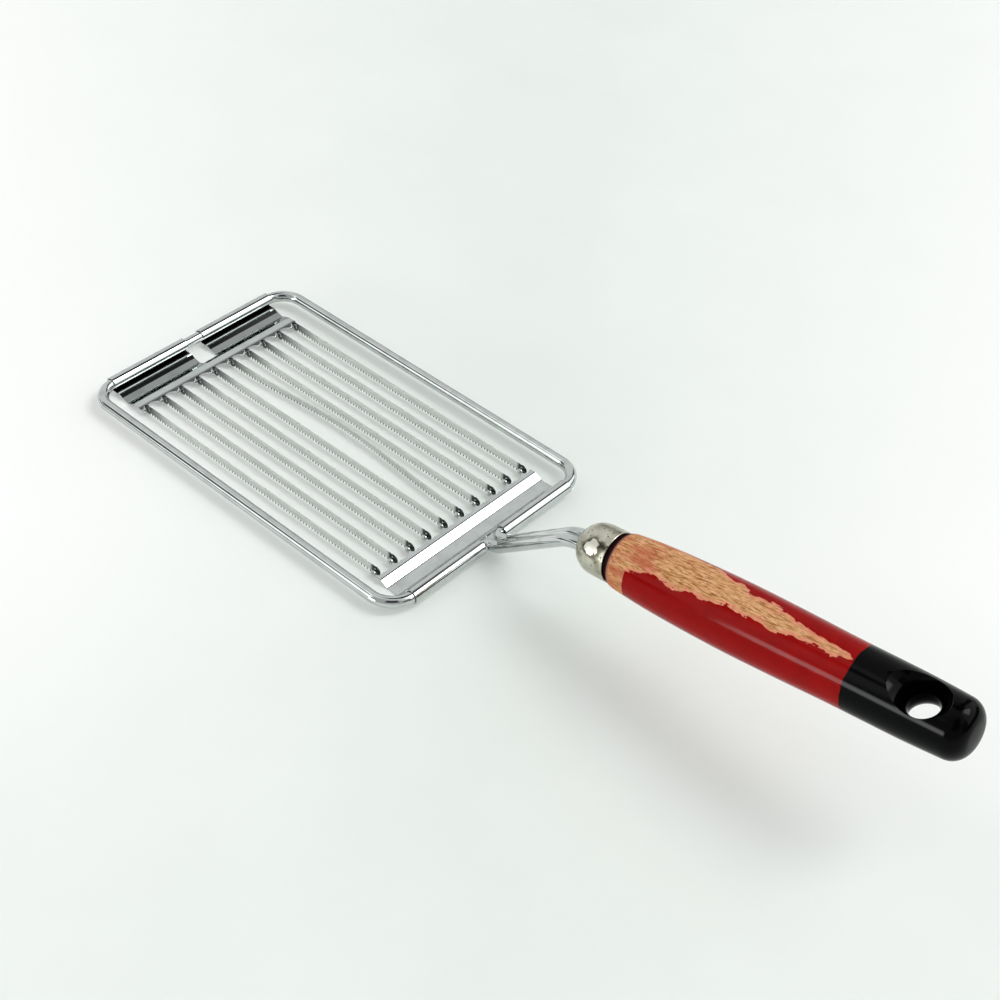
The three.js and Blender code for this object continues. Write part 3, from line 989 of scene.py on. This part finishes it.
@dataclass
class CombPlate(Piece):
    """A plate pressed from one sheet: rolled over the end wire, folded into a trough, cut to a comb.

    It is made about its own wire, with x as the depth towards the middle of the head, in millimetres.
    """

    node: str = "far_end_plate"
    slot: str = "plate_chrome"
    side: PlateSide = PlateSide.FAR
    section: tuple[tuple[float, float], ...] = (
        (3.1, 2.5), (4.2, 2.6), (5.8, 3.3), (8.6, 3.9), (12.6, 2.3),
    )  # fmt: skip
    sheet: float = 0.4
    wire_to_sheet: float = 2.5
    fold_radius: float = 0.25
    lip_angle: float = 8.0
    width: float = 76.0
    eye_inset: float = 18.45
    eye_drop: float = 2.3
    nose_inset: float = 18.35
    nose_diameter: float = 1.2
    nose_reach: float = 1.2
    knob_diameter: float = 2.3
    stem_outer: float = 1.9
    stem_inner: float = 0.7
    slot_reach: float = 1.0
    slot_bottom: float = 16.0
    shoulder: float = 1.15
    scallop_start: float = 2.15
    scallop_depth: float = 3.5
    pitch: float = 8.0
    count: int = 10
    wire_offset: float = 78.25
    window_width: float = 7.6
    window_depth: float = 10.9
    notch_width: float = 10.3
    notch_reach: float = 0.6
    notch_bottom: float = -2.1
    outside: float = -3.5
    tall: float = 8.0
    past_end: float = 0.5
    roll_steps: int = 44
    scallop_steps: int = 10
    edge_break: float = 0.07

    def _places(self) -> list[float]:
        """Where the blades are along the plate, in its own axes."""
        return [self.side.value * (i - (self.count - 1) / 2) * self.pitch for i in range(self.count)]

    def _folded_sheet(self) -> Solid:
        """Rolls and folds the sheet from its free lip to its comb edge.

        Returns:
            The sheet, which has its thickness.
        """
        sheet = start_from("sheet", bpy.ops.mesh.primitive_plane_add, size=self.width * MM)
        with shaping(sheet):
            choose(sheet, Element.POINTS, lambda at, _: at.x < 0)
            bpy.ops.mesh.delete(type="VERT")
            bpy.ops.mesh.select_all(action="SELECT")
            lip = math.radians(self.lip_angle)
            start = Vector((math.cos(lip), 0.0, math.sin(lip))) * self.wire_to_sheet
            bpy.ops.transform.translate(value=(start - Vector((self.width / 2, 0.0, 0.0))) * MM)
            swing(Vector(), Vector((0, -1, 0)), 1.5 * math.pi - lip, self.roll_steps)
            corners = [Corner(Vector((0.0, 0.0, -self.wire_to_sheet)))]
            corners += [Corner(Vector((depth, 0.0, -drop)), self.fold_radius) for depth, drop in self.section]
            corners.append(Corner(Vector((self.eye_inset + self.nose_diameter, 0.0, -self.eye_drop))))
            follow(corners, 12.0)
            bpy.ops.mesh.select_all(action="SELECT")
            bpy.ops.mesh.remove_doubles(threshold=0.001 * MM)
            bpy.ops.mesh.normals_make_consistent(inside=False)
        apply_modifier(sheet, "SOLIDIFY", thickness=self.sheet * MM, offset=0.0, use_even_offset=True)
        return sheet

    def _comb_outline(self) -> list[Vector]:
        """The plan of the plate, round its fingers.

        Returns:
            The points in metres.
        """
        half = self.width / 2 + self.past_end
        edge = self.eye_inset - self.scallop_start
        plan = [(self.outside, -half), (edge, -half)]
        for place in sorted(self._places()):
            stem, inner, reach = place - self.stem_outer, place - self.stem_inner, place + self.slot_reach
            plan += [(self.eye_inset - self.shoulder, stem), (self.nose_inset, stem)]
            plan += [(self.nose_inset, inner), (self.slot_bottom, inner), (self.slot_bottom, reach)]
            plan.append((edge, reach))
            if place + self.pitch < half:
                low = (self.eye_inset - self.scallop_depth, place + self.pitch / 2)
                end = (self.eye_inset - self.shoulder, place + self.pitch - self.stem_outer)
                for step in range(1, self.scallop_steps):
                    t = step / self.scallop_steps
                    bow = zip((edge, reach), low, end)
                    plan.append(tuple((1 - t) ** 2 * a + 2 * t * (1 - t) * b + t**2 * c for a, b, c in bow))
        plan += [(edge, half), (self.outside, half)]
        return [Vector((x, self.side.value * y, -self.tall)) * MM for x, y in plan]

    def _upright(self, outline: Sequence[Vector], bottom: float) -> Solid:
        """Stands a plan up into a cutter.

        Args:
            outline: The plan in metres.
            bottom: The height it starts from in millimetres.

        Returns:
            The cutter.
        """
        cutter = trace("cutter", outline, closed=True)
        with shaping(cutter):
            bpy.ops.mesh.select_all(action="SELECT")
            bpy.ops.transform.translate(value=(0.0, 0.0, (bottom + self.tall) * MM))
            pull(Vector((0.0, 0.0, (self.tall - bottom) * MM)))
        close_up(cutter)
        return cutter

    def _cut_middle(self, plate: Solid, end: float, width: float, bottom: float) -> None:
        """Cuts a straight opening across the middle of the plate, from outside it.

        Args:
            plate: The plate.
            end: How deep it goes in millimetres.
            width: How wide it is in millimetres.
            bottom: The height that it reaches down to in millimetres.
        """
        out, half = self.outside, width / 2
        places = ((out, -half), (end, -half), (end, half), (out, half))
        outline = [Vector((x, y, -self.tall)) * MM for x, y in places]
        combine(plate, self._upright(outline, bottom), Join.CUT)

    def _noses(self) -> Solid:
        """The round noses of all the fingers, as one object.

        Returns:
            The noses.
        """
        radius = self.nose_diameter / 2
        straight = self.stem_outer + self.nose_reach - self.nose_diameter
        nose = start_from(
            "nose",
            bpy.ops.mesh.primitive_uv_sphere_add,
            segments=20,
            ring_count=12,
            radius=radius * MM,
            rotation=(math.pi / 2, 0.0, 0.0),
        )
        sign = self.side.value
        knob = 0.0 if sign > 0 else straight * MM
        with shaping(nose):
            choose(nose, Element.POINTS, lambda at, _: at.y > -SLACK)
            bpy.ops.transform.translate(value=(0.0, straight * MM, 0.0))
            # The hooked end of the finger is rolled into a knob on its outer side.
            choose(nose, Element.POINTS, lambda at, _: (at.y - knob) * sign < SLACK)
            swell = self.knob_diameter / self.nose_diameter
            bpy.ops.transform.resize(value=(swell,) * 3, center_override=(0.0, knob, 0.0))
        copies = []
        for place in self._places():
            twin = copy_of(nose, "nose_copy")
            low = sign * (place - self.stem_outer + radius) - (0.0 if sign > 0 else straight)
            put(twin, Vector((self.nose_inset, low, -self.eye_drop)) * MM)
            copies.append(twin)
        bpy.data.objects.remove(nose)
        take(copies[0])
        for twin in copies[1:]:
            twin.select_set(True)
        bpy.ops.object.join()
        return copies[0]

    def build(self, material: Material) -> None:
        """Presses the plate and gives it its plating.

        Args:
            material: Its plating.
        """
        plate = self._folded_sheet()
        combine(plate, self._upright(self._comb_outline(), -self.tall), Join.KEEP_COMMON)
        if self.side is PlateSide.FAR:
            self._cut_middle(plate, self.window_depth, self.window_width, -self.tall)
        else:
            self._cut_middle(plate, -self.notch_reach, self.notch_width, -self.tall)
            self._cut_middle(plate, -self.outside, self.notch_width, self.notch_bottom)
        combine(plate, self._noses(), Join.ADD)
        plate.name = plate.data.name = f"{self.side.name.lower()}_comb_plate"
        turn = 0.0 if self.side is PlateSide.FAR else math.pi
        place = HEAD_MIDDLE - Vector((self.side.value * self.wire_offset, 0.0, 0.0))
        put(plate, place * MM, (0.0, 0.0, turn))
        close_up(plate)
        sharp = {"limit_method": "ANGLE", "angle_limit": math.radians(50)}
        apply_modifier(plate, "BEVEL", width=self.edge_break * MM, segments=2, **sharp)
        smooth(plate, 35.0)
        self.hand_over(plate, material)


@dataclass
class Blades(Piece):
    """Ten strips with ground teeth below and an eye at each end. In millimetres."""

    node: str = "blade_01"
    slot: str = "blade_steel"
    count: int = 10
    pitch: float = 8.0
    thickness: float = 0.45
    height: float = 3.5
    tooth_pitch: float = 1.43
    tooth_depth: float = 1.15
    tip: float = 0.16
    root: float = 0.2
    flank_share: float = 0.96
    ground_share: float = 1.1
    grind_rise: float = 0.5
    teeth: int = 82
    eye_reach: float = 59.8
    eye_diameter: float = 2.0
    ring_radius: float = 1.85
    ring_step: float = 0.01
    eye_drop: float = 2.3
    edge: float = 0.06
    bowed: int = 5
    bow: tuple[float, float, float] = (0.0, 3.3, 0.0)
    bow_lean: float = math.radians(-14.0)
    bow_reach: float = 58.0

    def _tooth(self) -> Solid:
        """One pitch of the strip: a pointed gullet between two half teeth with blunted tips.

        Returns:
            The unit, open at both ends.
        """
        half, top, low = self.tooth_pitch / 2, self.height / 2, -self.height / 2
        flank = low + self.tooth_depth * self.flank_share
        outline = [
            (-half, top),
            (-half, low),
            (-half + self.tip / 2, low),
            (-self.root / 2, flank),
            (0.0, low + self.tooth_depth),
            (self.root / 2, flank),
            (half - self.tip / 2, low),
            (half, low),
            (half, top),
        ]
        front = self.thickness / 2
        unit = trace("tooth", [Vector((x, front, z)) * MM for x, z in outline], closed=True)
        ground_to = (low + self.tooth_depth * self.ground_share) * MM
        top_edges = top * MM - SLACK
        with shaping(unit):
            bpy.ops.mesh.select_all(action="SELECT")
            pull(Vector((0.0, -self.thickness * MM, 0.0)))
            # The wheel ground the teeth from the far side, so they come to their edge on the near side.
            choose(unit, Element.POINTS, lambda at, _: at.y > 0 and at.z < ground_to)
            bpy.ops.transform.translate(value=(0.0, 0.0, self.grind_rise * MM))
            choose(unit, Element.FACES, lambda _, face: abs(face.normal.x) > 0.99 and len(face.verts) == 4)
            bpy.ops.mesh.delete(type="ONLY_FACE")
            choose(
                unit,
                Element.EDGES,
                lambda at, edge: at.z > top_edges
                and abs(edge.verts[0].co.x - edge.verts[1].co.x) > half * MM,
            )
            bpy.ops.mesh.bevel(offset=self.edge * MM, segments=2, affect="EDGES")
        return unit

    def _disc(self, name: str, end: Vector, radius: float, depth: float, sides: int) -> Solid:
        """A disc across a blade, about one of its eyes.

        Args:
            name: Its name.
            end: The middle of the eye in metres.
            radius: Its radius in millimetres.
            depth: Its thickness in millimetres.
            sides: How many faces go round it.

        Returns:
            The disc.
        """
        return start_from(
            name,
            bpy.ops.mesh.primitive_cylinder_add,
            vertices=sides,
            radius=radius * MM,
            depth=depth * MM,
            location=end,
            rotation=(math.pi / 2, 0.0, 0.0),
        )

    def _one(self) -> Solid:
        """A whole blade about the line of its eyes.

        Returns:
            The blade.
        """
        blade = self._tooth()
        put(blade, Vector((-(self.teeth - 1) / 2 * self.tooth_pitch, 0.0, 0.0)) * MM)
        apply_modifier(
            blade,
            "ARRAY",
            count=self.teeth,
            use_relative_offset=False,
            use_constant_offset=True,
            constant_offset_displace=(self.tooth_pitch * MM, 0.0, 0.0),
            use_merge_vertices=True,
            merge_threshold=0.002 * MM,
        )
        close_up(blade)
        for side in (-1, 1):
            end = Vector((side * self.eye_reach * MM, 0.0, 0.0))
            ring = self._disc("ring", end, self.ring_radius, self.thickness - self.ring_step, 48)
            with shaping(ring):
                choose(ring, Element.FACES, lambda _, face: len(face.verts) > 4)
                bpy.ops.mesh.bevel(offset=self.edge * MM, segments=2, affect="EDGES")
            combine(blade, ring, Join.ADD)
            eye = self._disc("eye", end, self.eye_diameter / 2, self.thickness * 3, 32)
            combine(blade, eye, Join.CUT)
        close_up(blade)
        smooth(blade, 28.0)
        return blade

    def _bend(self, blade: Solid) -> None:
        """Bows a blade sideways and leans it, as a knock left it.

        Args:
            blade: The blade to bend.
        """
        spread = {
            "use_proportional_edit": True,
            "proportional_edit_falloff": "SMOOTH",
            "proportional_size": self.bow_reach * MM,
        }
        with shaping(blade):
            choose(blade, Element.POINTS, lambda at, _: abs(at.x) < self.tooth_pitch * MM)
            moved = Vector(self.bow) * MM
            bpy.ops.transform.translate(value=moved, **spread)
            bpy.ops.transform.rotate(
                value=self.bow_lean, orient_axis="X", orient_type="GLOBAL", center_override=moved, **spread
            )

    def build(self, material: Material) -> None:
        """Makes one blade and strings ten of them.

        Args:
            material: Their steel.
        """
        pattern = self._one()
        for index in range(self.count):
            self.node = f"blade_{index + 1:02d}"
            blade = copy_of(pattern, f"serrated_blade_{index + 1:02d}")
            across = (index - (self.count - 1) / 2) * self.pitch
            if index == self.bowed:
                self._bend(blade)
            put(blade, (HEAD_MIDDLE + Vector((0.0, across, -self.eye_drop))) * MM)
            self.hand_over(blade, material)
        bpy.data.objects.remove(pattern)


@dataclass
class Ferrule(Piece):
    """The thin cap with a domed end where the shank goes into the handle. In millimetres."""

    node: str = "ferrule"
    slot: str = "ferrule_nickel"
    radius: float = 8.6
    length: float = 15.0
    wall: float = 0.6
    wire_radius: float = 2.1
    slot_gap: float = 0.15
    slot_ends: tuple[float, float] = (-2.0, 6.0)
    outer_round: float = 0.3
    inner_round: float = 0.2

    def build(self, material: Material) -> None:
        """Spins the cap, cuts the slot of the two legs and gives it its plating.

        Args:
            material: Its plating.
        """
        inner = self.radius - self.wall
        profile = arc((self.radius, 0.0), self.radius, 180, 90, 18)
        for bend, surface, start, end, steps in (
            (self.outer_round, self.radius - self.outer_round, 90, 0, 4),
            (self.inner_round, inner + self.inner_round, 0, -90, 3),
        ):
            profile += arc((self.length - bend, surface), bend, start, end, steps)
        profile += arc((self.radius, 0.0), inner, 90, 180, 14)
        cap = turned("ferrule_cap", profile, 72)
        slot = leg_cutter("leg_slot", 40, self.wire_radius + self.slot_gap, *self.slot_ends)
        combine(cap, slot, Join.CUT)
        close_up(cap)
        smooth(cap, 40.0)
        put(cap, GRIP_START * MM, (0.0, -GRIP_TILT, 0.0))
        self.hand_over(cap, material)


@dataclass
class Handle(Piece):
    """The turned handle with its spigot, the bore of the tangs and the flared hanging hole."""

    node: str = "handle"
    slot: str = "handle_enamel"
    shoulder: float = 16.2
    length: float = 124.2
    radius: float = 11.1
    spigot_radius: float = 7.7
    spigot_start: float = 7.0
    spigot_round: float = 0.8
    shoulder_radius: float = 1.4
    butt_radius: float = 6.0
    butt_dome: float = 0.4
    hole_radius: float = 4.35
    hole_flare: float = 11.75
    tang_reach: float = 52.3
    bore_radius: float = 2.4
    swell: tuple[tuple[float, float], ...] = (
        (0, 0.82), (0.09, 0.915), (0.2, 0.972), (0.35, 1), (0.5, 0.977), (0.66, 0.932), (0.84, 0.908),
        (0.95, 0.858),
    )  # fmt: skip

    def _swell_points(self, steps: int) -> list[Vector]:
        """Points of the handle's swell, smooth through its shares.

        Args:
            steps: How many parts it has.

        Returns:
            The points in millimetres.
        """
        known = [Vector((self.shoulder + self.length * x, 0.0, self.radius * r)) for x, r in self.swell]
        points = []
        last = len(known) - 1
        for step in range(steps + 1):
            place = last * step / steps
            i = min(int(place), last - 1)
            t = place - i
            p0, p1, p2, p3 = (known[max(0, min(last, j))] for j in (i - 1, i, i + 1, i + 2))
            v0, v1 = (p2 - p0) / 2, (p3 - p1) / 2
            point = (2 * t**3 - 3 * t**2 + 1) * p1 + (t**3 - 2 * t**2 + t) * v0
            points.append(point + (-2 * t**3 + 3 * t**2) * p2 + (t**3 - t**2) * v1)
        return points

    def build(self, material: Material) -> None:
        """Turns the handle, bores it, drills its hole and paints it.

        Args:
            material: Its wood and paint.
        """
        end = self.shoulder + self.length
        swell = self._swell_points(56)
        edge_start = end - self.butt_dome - self.butt_radius
        front, back = swell[0].z, swell[-1].z
        profile = [Vector((self.spigot_start, 0.0, 0.0)) * MM]
        nose = (self.spigot_start + self.spigot_round, self.spigot_radius - self.spigot_round)
        profile += arc(nose, self.spigot_round, 180, 90, 3)
        profile.append(Vector((self.shoulder, 0.0, self.spigot_radius)) * MM)
        lip = (self.shoulder + self.shoulder_radius, front - self.shoulder_radius)
        profile += arc(lip, self.shoulder_radius, 180, 90, 6)
        profile += [p * MM for p in swell[1:] if lip[0] < p.x < edge_start]
        profile += arc((edge_start, back - self.butt_radius), self.butt_radius, 90, 0, 14)
        profile.append(Vector((end, 0.0, 0.0)) * MM)
        handle = turned("enamelled_handle", profile, 120)
        bore = leg_cutter("tang_bore", 32, self.bore_radius, self.spigot_start - 1.0, self.tang_reach)
        combine(handle, bore, Join.CUT)
        combine(handle, self._hanging_hole(), Join.CUT)
        close_up(handle)
        smooth(handle, 34.0)
        put(handle, GRIP_START * MM, (0.0, -GRIP_TILT, 0.0))
        self.hand_over(handle, material)

    def _hanging_hole(self) -> Solid:
        """The cutter of the hole, narrowest on the handle's axis and flared to both sides.

        Returns:
            The cutter.
        """
        turn = math.degrees(math.asin(self.radius / self.hole_flare))
        top = self.radius + 1.0
        flare = arc((0.0, self.hole_radius + self.hole_flare), self.hole_flare, 270 - turn, 270 + turn, 40)
        mouth = flare[0].z
        profile = [Vector((-top * MM, 0.0, 0.0)), Vector((-top * MM, 0.0, mouth)), *flare]
        profile += [Vector((top * MM, 0.0, mouth)), Vector((top * MM, 0.0, 0.0))]
        cutter = turned("hanging_hole", profile, 96)
        axis = Vector((0.0, -math.sin(HOLE_TURN), math.cos(HOLE_TURN)))
        put(cutter, Vector((HOLE_ALONG, 0.0, 0.0)) * MM, axis.to_track_quat("X", "Y").to_euler())
        return cutter


# Studio


@dataclass(frozen=True)
class RoomPatch:
    """A part of the room that is lighter or darker than the rest, in degrees.

    Attributes:
        azimuth: Where it starts and ends, from +X towards +Y.
        elevation: Where it starts and ends above the table.
        light: How bright it is, where 1 is white.
        edge: How wide its soft edge is.
    """

    azimuth: tuple[float, float]
    elevation: tuple[float, float]
    light: float
    edge: float


@dataclass
class Studio:
    """A plain pale table in a room of soft light and dark patches, and the camera. In metres.

    A later patch of the room lies over the earlier ones. The table's painted light is drawn in axes of its
    own, which start at its near side and are turned. It grows with the slope away from their Y, between
    the two slopes of table_sides, and with the way along Y, between the two ends of table_ahead.
    """

    camera_at: Vector = field(default_factory=lambda: Vector((0.26973, -0.31326, 0.40336)))
    yaw: float = math.radians(131.357)
    pitch: float = math.radians(42.240)
    roll: float = math.radians(2.326)
    lens: float = 61.84
    table_dull: str = "#E7ECE8"
    table_colour: str = "#EBF0EC"
    table_painted_light: str = "#FFFFFE"
    table_start: Vector = field(default_factory=lambda: Vector((0.27, -0.31, 0.0)))
    table_turn: float = math.radians(41.0)
    table_sides: tuple[float, float] = (0.045, 0.45)
    table_ahead: tuple[float, float] = (0.27, 0.42)
    table_size: float = 5.0
    table_rim: float = 1.6
    table_drop: float = 0.02 * MM
    table_glow: float = 0.3
    backdrop: str = "#F2F5F3"
    room_tint: str = "#FDFFFE"
    room_light: float = 0.8
    patches: tuple[RoomPatch, ...] = (
        RoomPatch((236, 346), (-20, 80), 0.5, 16),  # the dim side behind the camera
        RoomPatch((290, 336), (30, 68), 0.05, 8),
        RoomPatch((-14, 16), (6, 38), 0.2, 5),
        RoomPatch((12, 86), (16, 73), 1.6, 3),  # a large white screen
        RoomPatch((33, 63), (40, 66), 9.5, 6),  # the main light in it
        RoomPatch((116, 131), (50, 59), 0.45, 3),
        RoomPatch((70, 150), (58.5, 79), 0.02, 3),  # the dark ceiling
        RoomPatch((88, 103), (14, 60), 0.12, 3),  # the screen's frame
        RoomPatch((88, 115), (46, 60), 0.05, 3),
        RoomPatch((4, 72), (-3, 14), 0.05, 3),  # the ledge below it
        RoomPatch((116, 134), (4, 22), 0.4, 5),
        RoomPatch((196, 222), (45, 60), 1.7, 4),  # a second screen
        RoomPatch((204, 227), (21, 52), 0.12, 4),
        RoomPatch((227, 243), (8, 45), 1.7, 3),
        RoomPatch((196, 238), (-9, 9), 0.06, 4),
        RoomPatch((243, 263), (-1, 12), 15.0, 5),  # a low strip light
    )

    def _camera(self) -> None:
        """Sets up the camera from its yaw, its pitch below the horizon and its roll."""
        deselect_all()
        bpy.ops.object.camera_add(location=self.camera_at)
        camera = bpy.context.active_object
        camera.name = "photo_camera"
        level_way = Vector((math.cos(self.yaw), math.sin(self.yaw), 0.0))
        ahead = math.cos(self.pitch) * level_way - Vector((0.0, 0.0, math.sin(self.pitch)))
        level = Vector((math.sin(self.yaw), -math.cos(self.yaw), 0.0))
        upright = level.cross(ahead)
        right = math.cos(self.roll) * level + math.sin(self.roll) * upright
        up = math.cos(self.roll) * upright - math.sin(self.roll) * level
        turn = Matrix((right, up, -ahead)).transposed().to_4x4()
        camera.matrix_world = Matrix.Translation(self.camera_at) @ turn
        camera.data.lens = self.lens
        camera.data.sensor_width = 36.0
        camera.data.clip_start = 0.01
        bpy.context.scene.camera = camera

    def _table(self) -> None:
        """Lays the pale table top."""
        table = start_from("table_top", bpy.ops.mesh.primitive_plane_add, size=self.table_size)
        with shaping(table):
            bpy.ops.mesh.select_all(action="SELECT")
            bpy.ops.mesh.inset(thickness=self.table_rim)
            bpy.ops.transform.translate(value=(0.0, 0.0, -self.table_drop))
        material, tree = new_material("matt_white_laminate")
        place = add_node(tree, "TexCoord", out="Object")
        # A faint cloudiness some centimetres wide keeps the sheet from looking like paper.
        cloud = add_node(tree, "TexNoise", {"Vector": place, "Scale": per_size(60.0), "Detail": 3.0})
        stops = [(0.3, self.table_dull), (0.7, self.table_colour)]
        colour = shape_ramp(add_node(tree, "ValToRGB", {0: cloud}), stops)
        # Painted light: the sheet is drawn lighter to the left and right of the slicer, as if more of the
        # room lit it there.
        axes = {"Vector": place, "Location": self.table_start, "Rotation": (0.0, 0.0, self.table_turn)}
        parts = add_node(tree, "SeparateXYZ", {0: add_node(tree, "Mapping", axes, vector_type="TEXTURE")})
        across, ahead = parts.node.outputs["X"], parts.node.outputs["Y"]
        slope = add_node(tree, "Math", {0: across, 1: ahead}, operation="DIVIDE")
        off = add_node(tree, "Math", {0: slope}, operation="ABSOLUTE")
        narrow, wide = self.table_sides
        side = add_node(tree, "MapRange", {0: off, LOW: narrow, HIGH: wide})
        near, far = self.table_ahead
        beyond = add_node(tree, "MapRange", {0: ahead, LOW: near, HIGH: far, AT_LOW: 0.25})
        painted_light = add_node(tree, "Math", {0: side, 1: beyond}, operation="MULTIPLY")
        inputs = {"Factor": painted_light, "A": colour, "B": linear(self.table_painted_light)}
        colour = add_node(tree, "Mix", inputs, out="Result", data_type="RGBA")
        surface = add_node(tree, "BsdfPrincipled", {"Base Color": colour, "Roughness": 0.7})
        white = add_node(tree, "Emission", {"Color": colour, "Strength": 1.0})
        # A part of the sheet's own colour is shown to the camera and in the metal, and lights nothing.
        rays = add_node(tree, "LightPath").node.outputs
        seen = {0: rays["Is Camera Ray"], 1: rays["Is Glossy Ray"]}
        seen = {0: add_node(tree, "Math", seen, operation="MAXIMUM"), 1: self.table_glow}
        share = add_node(tree, "Math", seen, operation="MULTIPLY")
        mixed = add_node(tree, "MixShader", {0: share, 1: surface, 2: white})
        add_node(tree, "OutputMaterial", {"Surface": mixed})
        table.data.materials.append(material)

    def _patch(self, tree: Tree, way: Socket, patch: RoomPatch) -> Socket:
        """Draws where one patch of the room is.

        Args:
            tree: The world's tree.
            way: The direction that is looked in.
            patch: The patch.

        Returns:
            1 inside the patch and 0 outside.
        """
        middle = math.radians(sum(patch.azimuth) / 2)
        faced = add_node(tree, "Mapping", {"Vector": way, "Rotation": (0.0, 0.0, -middle)})
        parts = add_node(tree, "SeparateXYZ", {0: faced}).node.outputs
        turn = add_node(tree, "Math", {0: parts["Y"], 1: parts["X"]}, operation="ARCTAN2")
        rise = add_node(tree, "Math", {0: parts["Z"]}, operation="ARCSINE")
        height = math.radians(sum(patch.elevation) / 2)
        lifted = add_node(tree, "Math", {0: rise, 1: height}, operation="SUBTRACT")
        inside = []
        for angle, (low, high) in ((turn, patch.azimuth), (lifted, patch.elevation)):
            off = add_node(tree, "Math", {0: angle}, operation="ABSOLUTE")
            half = (high - low) / 2
            limits = {LOW: math.radians(half - patch.edge / 2), HIGH: math.radians(half + patch.edge / 2)}
            limits |= {AT_LOW: 1.0, AT_HIGH: 0.0}
            inside.append(add_node(tree, "MapRange", {0: off, **limits}, interpolation_type="SMOOTHSTEP"))
        return add_node(tree, "Math", {0: inside[0], 1: inside[1]}, operation="MULTIPLY")

    def _room(self) -> None:
        """Lights the slicer from all round by the patches of the room."""
        world = bpy.data.worlds.new("studio_room")
        bpy.context.scene.world = world
        world.use_nodes = True
        tree = world.node_tree
        tree.nodes.clear()
        way = add_node(tree, "TexCoord", out="Generated")
        light: Any = self.room_light
        for patch in self.patches:
            inputs = {"Factor": self._patch(tree, way, patch), "A": light, "B": patch.light}
            light = add_node(tree, "Mix", inputs, data_type="FLOAT")
        inputs = {"Factor": 1.0, "A": linear(self.room_tint), "B": light}
        tinted = add_node(tree, "Mix", inputs, out="Result", data_type="RGBA", blend_type="MULTIPLY")
        seen = add_node(tree, "LightPath", out="Is Camera Ray")
        inputs = {"Factor": seen, "A": tinted, "B": linear(self.backdrop)}
        colour = add_node(tree, "Mix", inputs, out="Result", data_type="RGBA")
        glow = add_node(tree, "Background", {"Color": colour, "Strength": 1.0})
        add_node(tree, "OutputWorld", {"Surface": glow})

    def build(self) -> None:
        """Sets up the camera, the table and the room."""
        self._camera()
        self._table()
        self._room()
        bpy.context.scene.view_settings.view_transform = "Standard"


def main() -> None:
    """Builds the slicer and its studio, piece by piece."""
    logging.basicConfig(level=logging.INFO, format="%(message)s")
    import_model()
    Studio().build()
    FrameWire().build(ChromePlate("chrome_plated_steel_wire").material())
    # Painted shade on the far plate: black, tinted brown as grease, under the roll; grey as a painted dark
    # reflection on its step; grey round its fingers.
    roll = ShadeAndStain("#1F1B17", (("X", -162.4, -162.7), ("Z", 3.9, 3.5)))
    step = ShadeAndStain("#7E8383", (("X", -157.3, -156.8), ("X", -153.0, -153.4)))
    fingers = ShadeAndStain("#5C6161", (("X", -150.8, -149.7), ("X", -148.3, -148.6)))
    grease_and_shade = ChromePlate("chrome_plated_sheet_with_old_grease", painted_shades=(roll, step, fingers))
    CombPlate().build(grease_and_shade.material())
    section = ((3.4, 2.5), (6.6, 4.05), (11.2, 4.05), (14.4, 2.3))
    near_plate = CombPlate("near_end_plate", side=PlateSide.NEAR, section=section, fold_radius=1.3)
    near_plate.build(ChromePlate("chrome_plated_pressed_sheet").material())
    Blades().build(RolledSteel().material())
    Ferrule().build(AgedNickel().material())
    Handle().build(WornEnamel().material())


if __name__ == "__main__":
    main()
